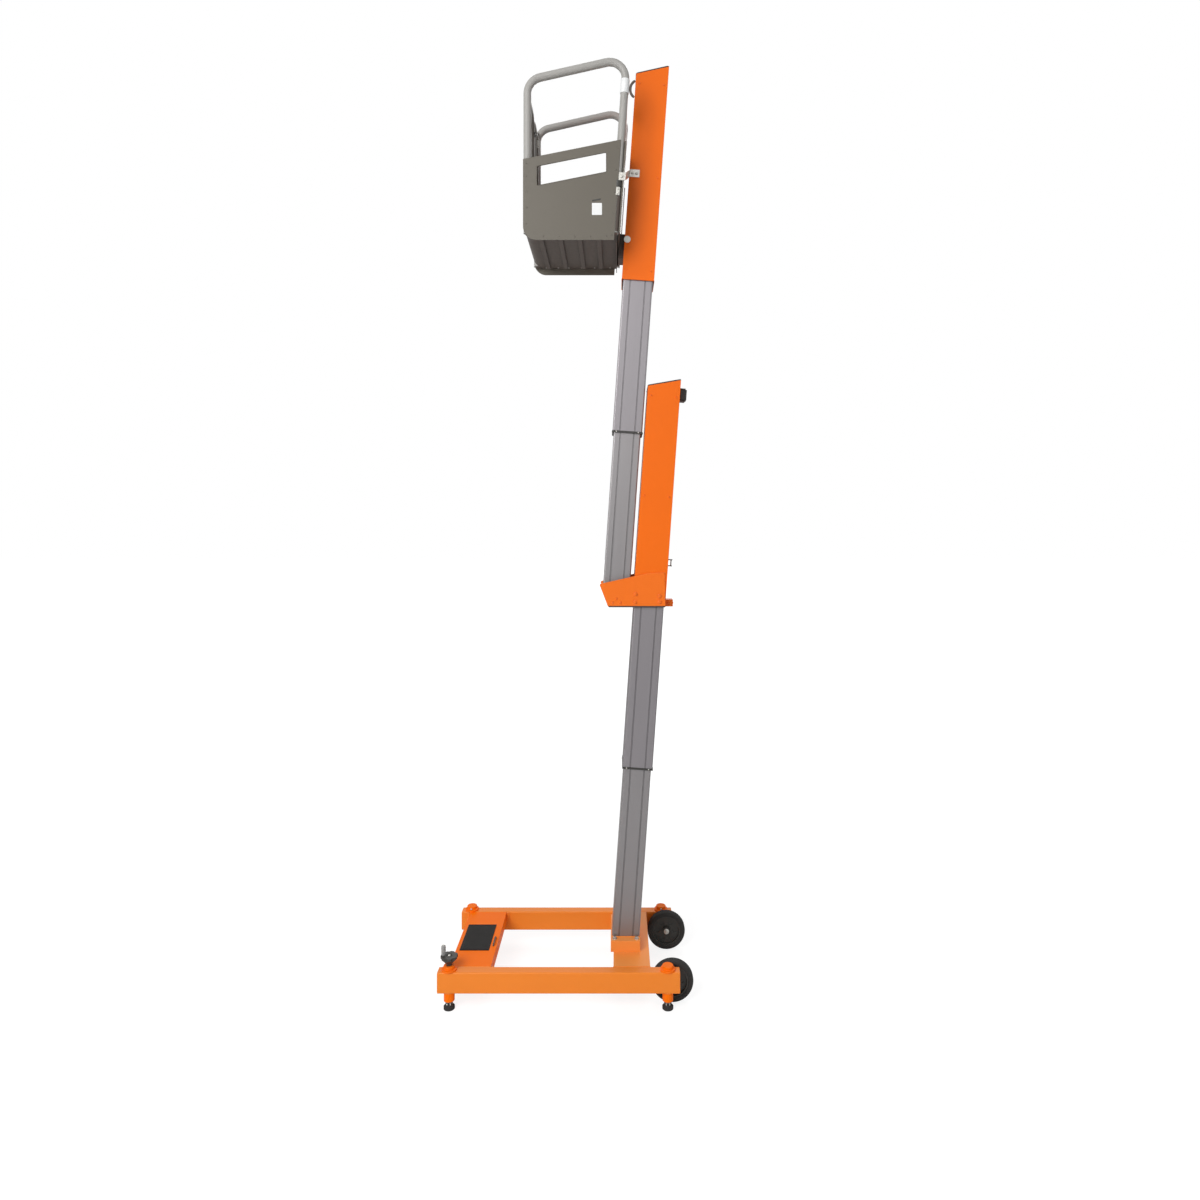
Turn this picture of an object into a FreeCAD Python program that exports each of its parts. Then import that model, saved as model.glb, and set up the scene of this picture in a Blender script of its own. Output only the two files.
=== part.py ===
"""Push-around vertical mast lift, fully raised.

Millimetres. +X points from the step deck to the wheels, +Z up, and -Y is the left side.
The origin is on the floor under the middle of the machine.

A frame of two rails, a step deck and a rear beam stands on four feet. From its shoe rises a leaning
mast in two stages: a fixed column, a sleeve and an orange cover, whose carriage holds a second
column, sleeve and cover beside the first. The second cover carries the basket.
"""
import FreeCAD, Part
import math
import os
import re
import Sketcher
from FreeCAD import Placement, Rotation, Vector

SIZES = {
    # Whole machine
    "overall_length": 1290,
    "overall_width": 700,
    # Seats between pieces, and the cut that runs past a face
    "seat": 0.3,
    "overcut": 20,
    # Base rails, feet and jack
    "wheel_stand_out": 75,
    "rail_width": 60,
    "rail_height": 106,
    "rail_round": 7,
    "ground_gap": 89,
    "front_foot_inset": 55,
    "rear_foot_inset": 59,
    "socket_radius": 27,
    "socket_throat_radius": 22,
    "socket_drop": 45,
    "collar_radius": 38,
    "collar_height": 10,
    "boss_radius": 28,
    "boss_height": 25,
    "edge_break": 2,
    "screw_radius": 11,
    "screw_reach": 80,
    "screw_end_gap": 5,
    "pad_radius": 28,
    "pad_height": 14,
    "pad_crown": 6,
    "pad_neck_radius": 17,
    "pad_neck_gap": 6,
    "jack_radius": 43,
    "jack_height": 48,
    "jack_neck_radius": 15,
    "jack_neck_height": 8,
    "jack_rim_height": 13,
    "jack_dish_radius": 14,
    "jack_dish_depth": 6,
    "jack_scallop_radius": 14,
    "jack_scallop_offset": 8,
    "jack_scallops": 7,
    "jack_grip_radius": 11,
    "jack_grip_length": 50,
    "jack_grip_inset": 3,
    # Step deck, its gussets and catch, and the tread
    "deck_start": 50,
    "deck_length": 210,
    "deck_skirt": 60,
    "deck_sheet": 4,
    "gusset_length": 17,
    "gusset_height": 82,
    "gusset_taper": 22,
    "gusset_thick": 4,
    "catch_inset": 18,
    "catch_side": 50,
    "catch_length": 80,
    "catch_height": 14,
    "catch_bend": 8,
    "catch_radius": 4,
    "tread_margin": 20,
    "tread_rear_margin": 35,
    "tread_half_width": 136,
    "tread_thick": 3,
    # Rear beam and mast shoe
    "beam_inset": 333,
    "beam_length": 187,
    "beam_skirt": 80,
    "beam_sheet": 5,
    "shoe_height": 55,
    "shoe_margin": 5,
    "shoe_side_margin": 45,
    # Wheels
    "wheel_radius": 107,
    "wheel_width": 44,
    "wheel_lift": 3,
    "wheel_gap": 10,
    "tyre_thick": 26,
    "tyre_lip": 3,
    "tyre_wall": 8,
    "tyre_shoulder": 12,
    "tyre_turn": 5,
    "rim_lip": 4,
    "rim_ring": 7,
    "rim_web": 12,
    "rim_draft": 2,
    "rim_hollow_radius": 13,
    "rim_hollow_place": 48,
    "rim_hollow_depth": 3,
    "rim_hollows": 6,
    "hub_radius": 21,
    "axle_radius": 10,
    "axle_flange_radius": 30,
    "axle_flange_thick": 5,
    "axle_cap_radius": 15,
    "axle_cap_thick": 7,
    "running_gap": 0.5,
    # Leaning mast
    "mast_rake": 4,
    "mast_inset": 286,
    "mast_spacing": 178.5,
    "column_across": 145,
    "lower_column_deep": 200,
    "upper_column_deep": 170,
    "column_wall": 5,
    "column_round": 8,
    "groove_width": 7,
    "groove_depth": 2.5,
    "sleeve_gap": 3,
    "sleeve_wall": 4,
    "cover_gap": 4.5,
    "cover_wall": 2,
    "cap_thick": 3,
    "collar_lip": 2,
    "collar_ring_height": 10,
    "collar_gap": 1,
    "pad_drop": 6,
    "pad_length": 60,
    "lower_column_top": 1228,
    "lower_sleeve_start": 956,
    "lower_sleeve_length": 1150,
    "lower_cover_start": 1820,
    "lower_cover_front": 1161,
    "lower_cover_rise": 41,
    "upper_column_top": 2925,
    "upper_sleeve_start": 2736,
    "upper_sleeve_length": 1050,
    "upper_cover_start": 3541,
    "upper_cover_front": 1092,
    "upper_cover_rise": 50,
    # Carriage
    "carriage_level": 2004,
    "carriage_foot_inset": 104.5,
    "carriage_lip_inset": 59.5,
    "carriage_lip_level": 2122,
    "carriage_mid_reach": 135,
    "carriage_mid_level": 2178,
    "carriage_rear_reach": 227,
    "carriage_rear_level": 2183,
    "carriage_rear_draft": 4,
    "carriage_plate_thick": 6,
    "cradle_lip_level": 2066,
    "cradle_thick": 5,
    "cradle_gap": 2,
    "clamp_height": 46,
    "clamp_length": 84,
    "saddle_height": 36,
    "bracket_thick": 5,
    "top_bracket_start": 2925,
    "top_bracket_height": 70,
    "top_bracket_reach": 34,
    "top_bracket_half_width": 25,
    "low_bracket_start": 2030,
    "low_bracket_height": 38,
    "low_bracket_reach": 28,
    "low_bracket_half_width": 18,
    "tail_gap": 2,
    "tail_drop": 6,
    "tail_length": 34,
    "tail_height": 37,
    "tail_half_width": 40,
    "tail_cap": 9,
    # Basket
    "basket_depth": 191,
    "basket_half_width": 283,
    "basket_level": 3885,
    "basket_floor_height": 40,
    "basket_sheet": 3,
    "floor_sheet": 4,
    "floor_overhang": 15,
    "floor_inset": 10,
    "toe_height": 55,
    "toe_round": 50,
    "rib_start": 75,
    "rib_span": 300,
    "rib_width": 22,
    "rib_depth": 14,
    "rib_count": 4,
    "panel_front_level": 4296,
    "panel_slope": 11.3,
    "panel_round": 70,
    "panel_hem": 14,
    "hem_gap": 6,
    "window_inset": 69,
    "window_length": 355,
    "window_front_level": 4160,
    "window_height": 100,
    "window_round": 6,
    "tube_radius": 20,
    "rail_front_level": 4709,
    "basket_rail_slope": 12.7,
    "rail_bend_front": 85,
    "rail_bend_rear": 80,
    "leg_stand_off": 51.5,
    "back_sheet": 3,
    "back_flange": 7,
    "back_height": 465,
    "back_lift": 2,
    "back_bar_level": 4640,
    "back_bar_radius": 16,
    "hanger_half_width": 55,
    "hanger_start": 3663,
    "hanger_height": 130,
    "hanger_bolt_start": 3750,
    "hanger_bolt_inset": 14,
    "hanger_bolt_radius": 18,
    "hanger_bolt_thick": 6,
    "strap_start": 4085,
    "strap_height": 40,
    "strap_thick": 5,
    "strap_reach": 55,
    "strap_bend": 32,
    "hook_level": 4622,
    "hook_height": 92,
    "hook_lip": 22,
    "hook_reach": 18,
    "hook_bend": 14,
    "hook_radius": 4.5,
    # Winding gear in the basket
    "winder_start": 3880,
    "winder_height": 230,
    "winder_half_width": 75,
    "winder_depth": 85,
    "winder_round": 14,
    "crank_drop": 80,
    "crank_arm": 150,
    "crank_arm_width": 22,
    "crank_thick": 10,
    "crank_boss_radius": 20,
    "crank_boss_depth": 18,
    "crank_grip_radius": 14,
    "crank_grip_length": 85,
    # Gates
    "gate_axis_side": 222,
    "gate_tube_radius": 11,
    "gate_frame_radius": 10,
    "gate_bottom_level": 3990,
    "gate_height": 680,
    "gate_middle_gap": 5,
    "gate_inset": 22,
    "gate_bend": 45,
    "gate_bar_radius": 7,
    "gate_bars": 2,
    "gate_sheet": 2,
    "gate_pin_radius": 6,
    "gate_pin_length": 22,
    "gate_pin_play": 4,
    "gate_bore_gap": 0.4,
    "gate_lug_thick": 7,
    "gate_lug_gap": 2,
    "gate_lug_radius": 13,
    "gate_strap_length": 110,
    "gate_strap_thick": 4,
}

PLACES = {
    # Base
    "front_end": "-overall_length / 2",
    "rail_rear": "overall_length / 2 - wheel_stand_out",
    "rail_side": "overall_width / 2",
    "rail_inside": "rail_side - rail_width",
    "rail_top": "ground_gap + rail_height",
    "foot_side": "rail_side - rail_width / 2",
    "front_foot": "front_end + front_foot_inset",
    "rear_foot": "rail_rear - rear_foot_inset",
    "boss_top": "rail_top + boss_height",
    "deck_front": "front_end + deck_start",
    "deck_rear": "deck_front + deck_length",
    "beam_front": "rail_rear - beam_inset",
    "beam_rear": "beam_front + beam_length",
    "axle_place": "overall_length / 2 - wheel_radius",
    "axle_level": "wheel_radius + wheel_lift",
    "wheel_side": "rail_inside - wheel_gap - wheel_width / 2",
    # Mast, in its own leaning frame: x across, z along it from the rail top
    "mast_zero": "rail_rear - mast_inset",
    "mast_foot": "mast_zero + rail_top * tan(mast_rake)",
    "upper_line": "-mast_spacing",
    "sleeve_across": "column_across + 2 * sleeve_gap + 2 * sleeve_wall",
    "cover_across": "sleeve_across + 2 * cover_gap + 2 * cover_wall",
    "lower_sleeve_deep": "lower_column_deep + 2 * sleeve_gap + 2 * sleeve_wall",
    "lower_cover_deep": "lower_sleeve_deep + 2 * cover_gap + 2 * cover_wall",
    "upper_sleeve_deep": "upper_column_deep + 2 * sleeve_gap + 2 * sleeve_wall",
    "upper_cover_deep": "upper_sleeve_deep + 2 * cover_gap + 2 * cover_wall",
    "lower_sleeve_top": "lower_sleeve_start + lower_sleeve_length",
    "upper_sleeve_top": "upper_sleeve_start + upper_sleeve_length",
    "lower_cover_top": "lower_cover_start + lower_cover_front",
    "upper_cover_top": "upper_cover_start + upper_cover_front",
    "carriage_front_foot": "mast_zero - mast_spacing + carriage_foot_inset",
    "carriage_front_lip": "mast_zero - mast_spacing + carriage_lip_inset",
    "carriage_mid": "mast_zero + carriage_mid_reach",
    "carriage_rear": "mast_zero + carriage_rear_reach",
    "cradle_rear": "mast_zero + carriage_level * tan(mast_rake) - cover_across / 2 - cradle_gap",
    "lip_slope": "(carriage_front_foot - carriage_front_lip) / (carriage_lip_level - carriage_level)",
    "cradle_lip_front": "carriage_front_foot - lip_slope * (cradle_lip_level - carriage_level)",
    "plate_side": "lower_cover_deep / 2",
    "tail_front": "carriage_rear + tail_gap",
    "tail_level": "carriage_level - tail_drop",
    # Basket
    "leg_zero": "mast_zero - mast_spacing - cover_across / 2 - leg_stand_off",
    "basket_front": "leg_zero - basket_depth",
    "window_front": "basket_front + window_inset",
    "floor_top": "basket_level + basket_floor_height",
    "floor_under": "floor_top - floor_sheet",
    "panel_side": "basket_half_width - basket_sheet",
    "tube_side": "panel_side - seat - tube_radius",
    "leg_face": "tube_side - tube_radius - seat",
    "front_leg": "basket_front + tube_radius",
    "leg_line": "(leg_zero - mast_zero) * cos(mast_rake)",
    "back_face": "leg_line + tube_radius + seat",
    "hanger_face": "upper_line - cover_across / 2",
    "strap_side": "upper_cover_deep / 2",
    "panel_rear_foot": "leg_zero + basket_level * tan(mast_rake)",
    "panel_zero_level": "panel_front_level - basket_front * tan(panel_slope)",
    "panel_rear_share": "1 - tan(mast_rake) * tan(panel_slope)",
    "panel_rear_top": "(leg_zero + panel_zero_level * tan(mast_rake)) / panel_rear_share",
    "panel_rear_level": "panel_zero_level + panel_rear_top * tan(panel_slope)",
    "floor_rear": "panel_rear_foot + floor_overhang",
    "window_rise": "window_length * tan(panel_slope)",
    "gate_top_level": "gate_bottom_level + gate_height",
    "gate_line": "front_leg",
    "crank_level": "winder_start + winder_height - crank_drop",
    "crank_face": "back_face - winder_depth - crank_boss_depth",
}

SIDES = (("left", -1), ("right", 1))
UPRIGHT = Vector(0, 0, 1)
ACROSS = Vector(0, 1, 0)

doc = FreeCAD.newDocument("MastLift")
nodes = []


def add_sheet(name):
    sheet = doc.addObject("Spreadsheet::Sheet", name)
    return sheet


def formula(text, own=()):
    """Put the sheet's name before every size or place in a plain formula."""

    def named(match):
        word = match.group(0)
        if word in own:
            return word
        if word in SIZES:
            return "Sizes." + word
        if word in PLACES:
            return "Places." + word
        return word

    return re.sub(r"[a-z][a-z_]+", named, str(text))


sizes = add_sheet("Sizes")
for row, (name, value) in enumerate(SIZES.items(), 1):
    sizes.set("A%d" % row, name)
    sizes.set("B%d" % row, str(value))
    sizes.setAlias("B%d" % row, name)

places = add_sheet("Places")
for row, name in enumerate(PLACES, 1):
    places.set("A%d" % row, name)
    places.setAlias("B%d" % row, name)
for row, text in enumerate(PLACES.values(), 1):
    places.set("B%d" % row, "=" + formula(text, own=PLACES))
desk = add_sheet("Desk")
doc.recompute()


def number(text):
    """The present value of a formula, for starting points and for shapes made by code."""
    desk.set("A1", "=" + formula(text))
    desk.recompute()
    return float(desk.get("A1"))


def bind(item, path, text):
    item.setExpression(path, formula(text))


def put(item, x=0, y=0, z=0):
    for axis, text in zip("xyz", (x, y, z)):
        bind(item, "Placement.Base." + axis, text)


def lean(item):
    """Stand a piece that is drawn in the mast's frame on the mast's foot, and lean it."""
    item.Placement = Placement(Vector(), Rotation(ACROSS, number("mast_rake")))
    bind(item, "Placement.Rotation.Angle", "mast_rake")
    put(item, "mast_foot", 0, "rail_top")


def keep(item):
    """Count a finished piece as a node of the model."""
    nodes.append(item)
    return item


def block(label, x, y, z):
    """A Part box from three pairs of formulas, low and high along each axis."""
    box = doc.addObject("Part::Box", label)
    for path, (low, high) in (("Length", x), ("Width", y), ("Height", z)):
        bind(box, path, "(%s) - (%s)" % (high, low))
    put(box, x[0], y[0], z[0])
    return box


def cut(label, base, tool):
    result = doc.addObject("Part::Cut", label)
    result.Base = base
    result.Tool = tool
    return result


def group(label, shapes):
    result = doc.addObject("Part::Compound", label)
    result.Links = shapes
    return result


def new_body(label):
    return doc.addObject("PartDesign::Body", label)


def base_plane(body, role):
    return [feature for feature in body.Origin.OriginFeatures if feature.Role == role][0]


def sketch_on(body, role, offset="0"):
    sketch = body.newObject("Sketcher::SketchObject", body.Label + "_sketch")
    sketch.AttachmentSupport = (base_plane(body, role), [""])
    sketch.MapMode = "FlatFace"
    bind(sketch, "AttachmentOffset.Base.z", offset)
    return sketch


def pin(sketch, geometry, point, x, y):
    """Tie a point of the sketch to its two formulas, measured from the origin."""
    for kind, text in (("DistanceX", x), ("DistanceY", y)):
        rule = Sketcher.Constraint(kind, -1, 1, geometry, point, number(text))
        index = sketch.addConstraint(rule)
        bind(sketch, "Constraints[%d]" % index, text)


def polygon(sketch, corners):
    """A closed outline of straight edges through corners given as formulas."""
    spots = [Vector(number(x), number(y), 0) for x, y in corners]
    first = sketch.GeometryCount
    count = len(corners)
    for index in range(count):
        edge = Part.LineSegment(spots[index], spots[(index + 1) % count])
        sketch.addGeometry(edge, False)
    for index, (x, y) in enumerate(corners):
        following = first + (index + 1) % count
        sketch.addConstraint(Sketcher.Constraint("Coincident", first + index, 2, following, 1))
        pin(sketch, first + index, 1, x, y)
    return sketch


def rectangle(sketch, x, y):
    return polygon(sketch, [(x[0], y[0]), (x[1], y[0]), (x[1], y[1]), (x[0], y[1])])


def circle(sketch, x, y, radius):
    shape = Part.Circle(Vector(number(x), number(y), 0), UPRIGHT, number(radius))
    index = sketch.addGeometry(shape, False)
    pin(sketch, index, 3, x, y)
    rule = sketch.addConstraint(Sketcher.Constraint("Radius", index, number(radius)))
    bind(sketch, "Constraints[%d]" % rule, radius)
    return sketch


def pad(body, sketch, length, symmetric=False, back=False):
    feature = body.newObject("PartDesign::Pad", body.Label + "_pad")
    feature.Profile = sketch
    bind(feature, "Length", length)
    feature.SideType = "Symmetric" if symmetric else "One side"
    feature.Reversed = back
    doc.recompute()
    return feature


def pocket(body, sketch, length=None, symmetric=False, back=False):
    """Cut a sketch out of the body, and make sure that it took something away."""
    before = body.Shape.Volume
    feature = body.newObject("PartDesign::Pocket", body.Label + "_pocket")
    feature.Profile = sketch
    feature.SideType = "Symmetric" if symmetric else "One side"
    feature.Reversed = back
    if length is None:
        feature.Type = "ThroughAll"
    else:
        bind(feature, "Length", length)
    doc.recompute()
    if body.Shape.Volume > before - 1:
        raise RuntimeError("a pocket in %s cuts nothing" % body.Label)
    return feature


def repeat_round(body, originals, sketch, count):
    """Repeat features evenly about the sketch's own upright axis."""
    pattern = body.newObject("PartDesign::PolarPattern", body.Label + "_repeat")
    pattern.Originals = originals
    pattern.Axis = (sketch, ["N_Axis"])
    pattern.Angle = 360
    bind(pattern, "Occurrences", count)
    body.Tip = pattern
    doc.recompute()
    return pattern


def turned(label, profile):
    """A body of revolution about the upright axis from corners of (radius, height)."""
    body = new_body(label)
    sketch = polygon(sketch_on(body, "XZ_Plane"), profile)
    feature = body.newObject("PartDesign::Revolution", label + "_turn")
    feature.Profile = sketch
    feature.ReferenceAxis = (sketch, ["V_Axis"])
    feature.Angle = 360
    doc.recompute()
    return body


def round_edges(body, radius, chosen):
    """Fillet the edges of the body's tip that the test chooses."""
    base = body.Tip
    names = [
        "Edge%d" % (index + 1)
        for index, edge in enumerate(base.Shape.Edges)
        if chosen(edge)
    ]
    if not names:
        raise RuntimeError("no edge to round on " + body.Label)
    feature = body.newObject("PartDesign::Fillet", body.Label + "_round")
    feature.Base = (base, names)
    bind(feature, "Radius", radius)
    doc.recompute()
    return feature


def runs_along(edge, direction):
    """Whether a straight edge is parallel to a direction."""
    if len(edge.Vertexes) < 2 or edge.Curve.TypeId != "Part::GeomLine":
        return False
    way = edge.Vertexes[-1].Point - edge.Vertexes[0].Point
    return way.cross(direction).Length < 1e-6 * way.Length


def at_height(edge, low, high):
    return low <= edge.CenterOfMass.z <= high


def bent_path(points, bends):
    """A wire of straight runs through the points, with a tangent arc of each inner point's bend."""
    edges = []
    here = points[0]
    for index, bend in enumerate(bends, 1):
        corner = points[index]
        inward = (points[index - 1] - corner).normalize()
        outward = (points[index + 1] - corner).normalize()
        half = inward.getAngle(outward) / 2
        reach = bend / math.tan(half)
        start = corner + inward * reach
        end = corner + outward * reach
        middle = (inward + outward).normalize()
        crown = corner + middle * (bend / math.sin(half) - bend)
        edges.append(Part.LineSegment(here, start).toShape())
        edges.append(Part.Arc(start, crown, end).toShape())
        here = end
    edges.append(Part.LineSegment(here, points[-1]).toShape())
    return Part.Wire(edges)


def tube_shape(points, bends, radius):
    path = bent_path(points, bends)
    way = points[1] - points[0]
    ring = Part.Wire([Part.Circle(points[0], way, radius).toShape()])
    return path.makePipeShell([ring], True, True)


def shape_node(label, shape):
    item = doc.addObject("Part::Feature", label)
    item.Shape = shape
    return keep(item)


# Base


def rail(name, sign):
    body = new_body("rail_" + name)
    y = ["%d * rail_inside" % sign, "%d * rail_side" % sign]
    sketch = sketch_on(body, "XY_Plane", "ground_gap")
    rectangle(sketch, ("front_end", "rail_rear"), y)
    pad(body, sketch, "rail_height")
    round_edges(body, "rail_round", lambda edge: runs_along(edge, Vector(1, 0, 0)))
    holes = sketch_on(body, "XY_Plane", "ground_gap")
    for place in ("front_foot", "rear_foot"):
        circle(holes, place, "%d * foot_side" % sign, "socket_throat_radius + seat")
    pocket(body, holes, back=True)
    return keep(body)


def foot(end, place, name, sign):
    """A screw foot in its socket tube, which passes up through the rail to a collar and boss."""
    socket = turned(
        "socket_%s_%s" % (end, name),
        [
            ("screw_radius + seat", "ground_gap - socket_drop"),
            ("socket_radius", "ground_gap - socket_drop"),
            ("socket_radius", "ground_gap"),
            ("socket_throat_radius", "ground_gap"),
            ("socket_throat_radius", "rail_top"),
            ("collar_radius", "rail_top"),
            ("collar_radius", "rail_top + collar_height - edge_break"),
            ("boss_radius", "rail_top + collar_height"),
            ("boss_radius", "boss_top - edge_break"),
            ("boss_radius - edge_break", "boss_top"),
            ("0", "boss_top"),
            ("0", "screw_reach + 2 * screw_end_gap"),
            ("screw_radius + seat", "screw_reach + screw_end_gap"),
        ],
    )
    pad_foot = turned(
        "foot_%s_%s" % (end, name),
        [
            ("0", "0"),
            ("pad_radius - edge_break", "0"),
            ("pad_radius", "edge_break"),
            ("pad_radius", "pad_height"),
            ("pad_neck_radius + edge_break", "pad_height + pad_crown"),
            ("pad_neck_radius", "ground_gap - socket_drop - pad_neck_gap"),
            ("screw_radius", "ground_gap - socket_drop - pad_neck_gap"),
            ("screw_radius", "screw_reach"),
            ("0", "screw_reach"),
        ],
    )
    for item in (socket, pad_foot):
        put(item, place, "%d * foot_side" % sign, 0)
    return socket, pad_foot


def feet():
    pairs = [
        foot(end, place, name, sign)
        for end, place in (("front", "front_foot"), ("rear", "rear_foot"))
        for name, sign in SIDES
    ]
    keep(group("foot_sockets", [socket for socket, pad_foot in pairs]))
    keep(group("feet", [pad_foot for socket, pad_foot in pairs]))


def jack_handwheel():
    """A dished wheel with finger scallops round its rim, and the upright grip that turns it."""
    top = "boss_top + jack_height"
    rim = top + " - jack_rim_height"
    wheel = turned(
        "jack_handwheel",
        [
            ("0", "boss_top"),
            ("jack_neck_radius", "boss_top"),
            ("jack_neck_radius", "boss_top + jack_neck_height"),
            ("jack_radius - edge_break", rim),
            ("jack_radius", rim + " + edge_break"),
            ("jack_radius", top + " - edge_break"),
            ("jack_radius - edge_break", top),
            ("jack_dish_radius", top),
            ("jack_dish_radius - edge_break", top + " - jack_dish_depth"),
            ("0", top + " - jack_dish_depth"),
        ],
    )
    scallop = sketch_on(wheel, "XY_Plane", "boss_top")
    circle(scallop, "jack_radius + jack_scallop_offset", "0", "jack_scallop_radius")
    first = pocket(wheel, scallop, back=True)
    repeat_round(wheel, [first], scallop, "jack_scallops")
    put(wheel, "front_foot", "-foot_side", 0)
    grip_top = top + " + jack_grip_length"
    grip = turned(
        "jack_grip",
        [
            ("0", top),
            ("jack_grip_radius - edge_break", top),
            ("jack_grip_radius", grip_top + " - jack_grip_length / 3"),
            ("jack_grip_radius", grip_top + " - 2 * edge_break"),
            ("jack_grip_radius - 2 * edge_break", grip_top),
            ("0", grip_top),
        ],
    )
    put(grip, "front_foot - jack_radius + jack_grip_radius + jack_grip_inset", "-foot_side", 0)
    keep(wheel)
    keep(grip)


def channel(label, front, rear, skirt, sheet):
    """A folded sheet across the frame, open below, between the two rails."""
    body = new_body(label)
    profile = [
        (front, "rail_top - " + skirt),
        (front, "rail_top"),
        (rear, "rail_top"),
        (rear, "rail_top - " + skirt),
        ("%s - %s" % (rear, sheet), "rail_top - " + skirt),
        ("%s - %s" % (rear, sheet), "rail_top - " + sheet),
        ("%s + %s" % (front, sheet), "rail_top - " + sheet),
        ("%s + %s" % (front, sheet), "rail_top - " + skirt),
    ]
    pad(body, polygon(sketch_on(body, "XZ_Plane"), profile), "2 * rail_inside", symmetric=True)
    return keep(body)


def tread():
    keep(
        block(
            "tread_pad",
            ("deck_front + tread_margin", "deck_rear - tread_rear_margin"),
            ("-tread_half_width", "tread_half_width"),
            ("rail_top", "rail_top + tread_thick"),
        )
    )


def deck_gussets():
    """A tapered plate on each rail's inner face, behind the deck's rear skirt."""
    plates = []
    for name, sign in SIDES:
        body = new_body("gusset_" + name)
        sketch = sketch_on(body, "XZ_Plane", "%d * rail_inside" % -sign)
        front = "deck_rear + seat"
        rear = "deck_rear + gusset_length"
        top = "rail_top - edge_break"
        polygon(
            sketch,
            [
                (front, top + " - gusset_height"),
                (rear, top + " - gusset_height + gusset_taper"),
                (rear, top),
                (front, top),
            ],
        )
        pad(body, sketch, "gusset_thick", back=sign < 0)
        plates.append(body)
    keep(group("deck_gussets", plates))


def deck_catch():
    """A low bail of round bar on the deck, behind the tread."""
    x = number("deck_rear - catch_inset")
    middle = -number("catch_side")
    half = number("catch_length") / 2
    foot_level = number("rail_top")
    top = foot_level + number("catch_height - catch_radius")
    points = [
        Vector(x, middle - half, foot_level),
        Vector(x, middle - half, top),
        Vector(x, middle + half, top),
        Vector(x, middle + half, foot_level),
    ]
    bend = number("catch_bend")
    shape_node("deck_catch", tube_shape(points, (bend, bend), number("catch_radius")))


def mast_shoe():
    line = "mast_zero + (rail_top + shoe_height / 2) * tan(mast_rake)"
    half = "(column_across / 2 + shoe_margin)"
    side = "lower_column_deep / 2 + shoe_side_margin"
    outer = block(
        "shoe_block",
        ("%s - %s" % (line, half), "%s + %s" % (line, half)),
        ("-(%s)" % side, side),
        ("rail_top", "rail_top + shoe_height"),
    )
    hole = new_body("shoe_hole")
    sketch = sketch_on(hole, "XZ_Plane")
    rectangle(
        sketch,
        ("-column_across / 2 - seat", "column_across / 2 + seat"),
        ("-overcut * 2", "shoe_height + overcut"),
    )
    pad(hole, sketch, "lower_column_deep + 2 * seat", symmetric=True)
    lean(hole)
    keep(cut("mast_shoe", outer, hole))


def wheel(name, sign):
    half = "wheel_width / 2"
    rim_radius = "wheel_radius - tyre_thick"
    tyre = turned(
        "wheel_%s_tyre" % name,
        [
            (rim_radius, "-wheel_width / 2 + tyre_lip"),
            (rim_radius + " + tyre_wall", "-wheel_width / 2"),
            ("wheel_radius - tyre_wall", "-wheel_width / 2"),
            ("wheel_radius - edge_break", "-wheel_width / 2 + tyre_turn"),
            ("wheel_radius", "-wheel_width / 2 + tyre_shoulder"),
            ("wheel_radius", "wheel_width / 2 - tyre_shoulder"),
            ("wheel_radius - edge_break", "wheel_width / 2 - tyre_turn"),
            ("wheel_radius - tyre_wall", half),
            (rim_radius + " + tyre_wall", half),
            (rim_radius, half + " - tyre_lip"),
        ],
    )
    inner = rim_radius + " - rim_ring"
    rim = turned(
        "wheel_%s_rim" % name,
        [
            ("axle_radius + running_gap", "-wheel_width / 2"),
            ("hub_radius", "-wheel_width / 2"),
            ("hub_radius + rim_draft", "-rim_web / 2"),
            (inner + " - rim_draft", "-rim_web / 2"),
            (inner, "-wheel_width / 2 + rim_lip"),
            (rim_radius, "-wheel_width / 2 + rim_lip"),
            (rim_radius, half + " - rim_lip"),
            (inner, half + " - rim_lip"),
            (inner + " - rim_draft", "rim_web / 2"),
            ("hub_radius + rim_draft", "rim_web / 2"),
            ("hub_radius", half),
            ("axle_radius + running_gap", half),
        ],
    )
    hollows = []
    for face in (-1, 1):
        sketch = sketch_on(rim, "XY_Plane", "%d * rim_web / 2" % face)
        circle(sketch, "rim_hollow_place", "0", "rim_hollow_radius")
        hollows.append(pocket(rim, sketch, "rim_hollow_depth", back=face < 0))
    repeat_round(rim, hollows, sketch, "rim_hollows")
    inside = half + " + running_gap"
    axle = turned(
        "axle_" + name,
        [
            ("0", "-wheel_gap - wheel_width / 2"),
            ("axle_flange_radius", "-wheel_gap - wheel_width / 2"),
            ("axle_flange_radius", "-wheel_gap - wheel_width / 2 + axle_flange_thick"),
            ("axle_cap_radius", "-wheel_gap - wheel_width / 2 + axle_flange_thick"),
            ("axle_cap_radius", "-wheel_width / 2 - running_gap"),
            ("axle_radius", "-wheel_width / 2 - running_gap"),
            ("axle_radius", inside),
            ("axle_cap_radius", inside),
            ("axle_cap_radius", inside + " + axle_cap_thick - edge_break"),
            ("axle_cap_radius - edge_break", inside + " + axle_cap_thick"),
            ("0", inside + " + axle_cap_thick"),
        ],
    )
    for item in (tyre, rim, axle):
        item.Placement = Placement(Vector(), Rotation(Vector(1, 0, 0), 90 * sign))
        put(item, "axle_place", "%d * wheel_side" % sign, "axle_level")
        keep(item)


# Mast


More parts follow.
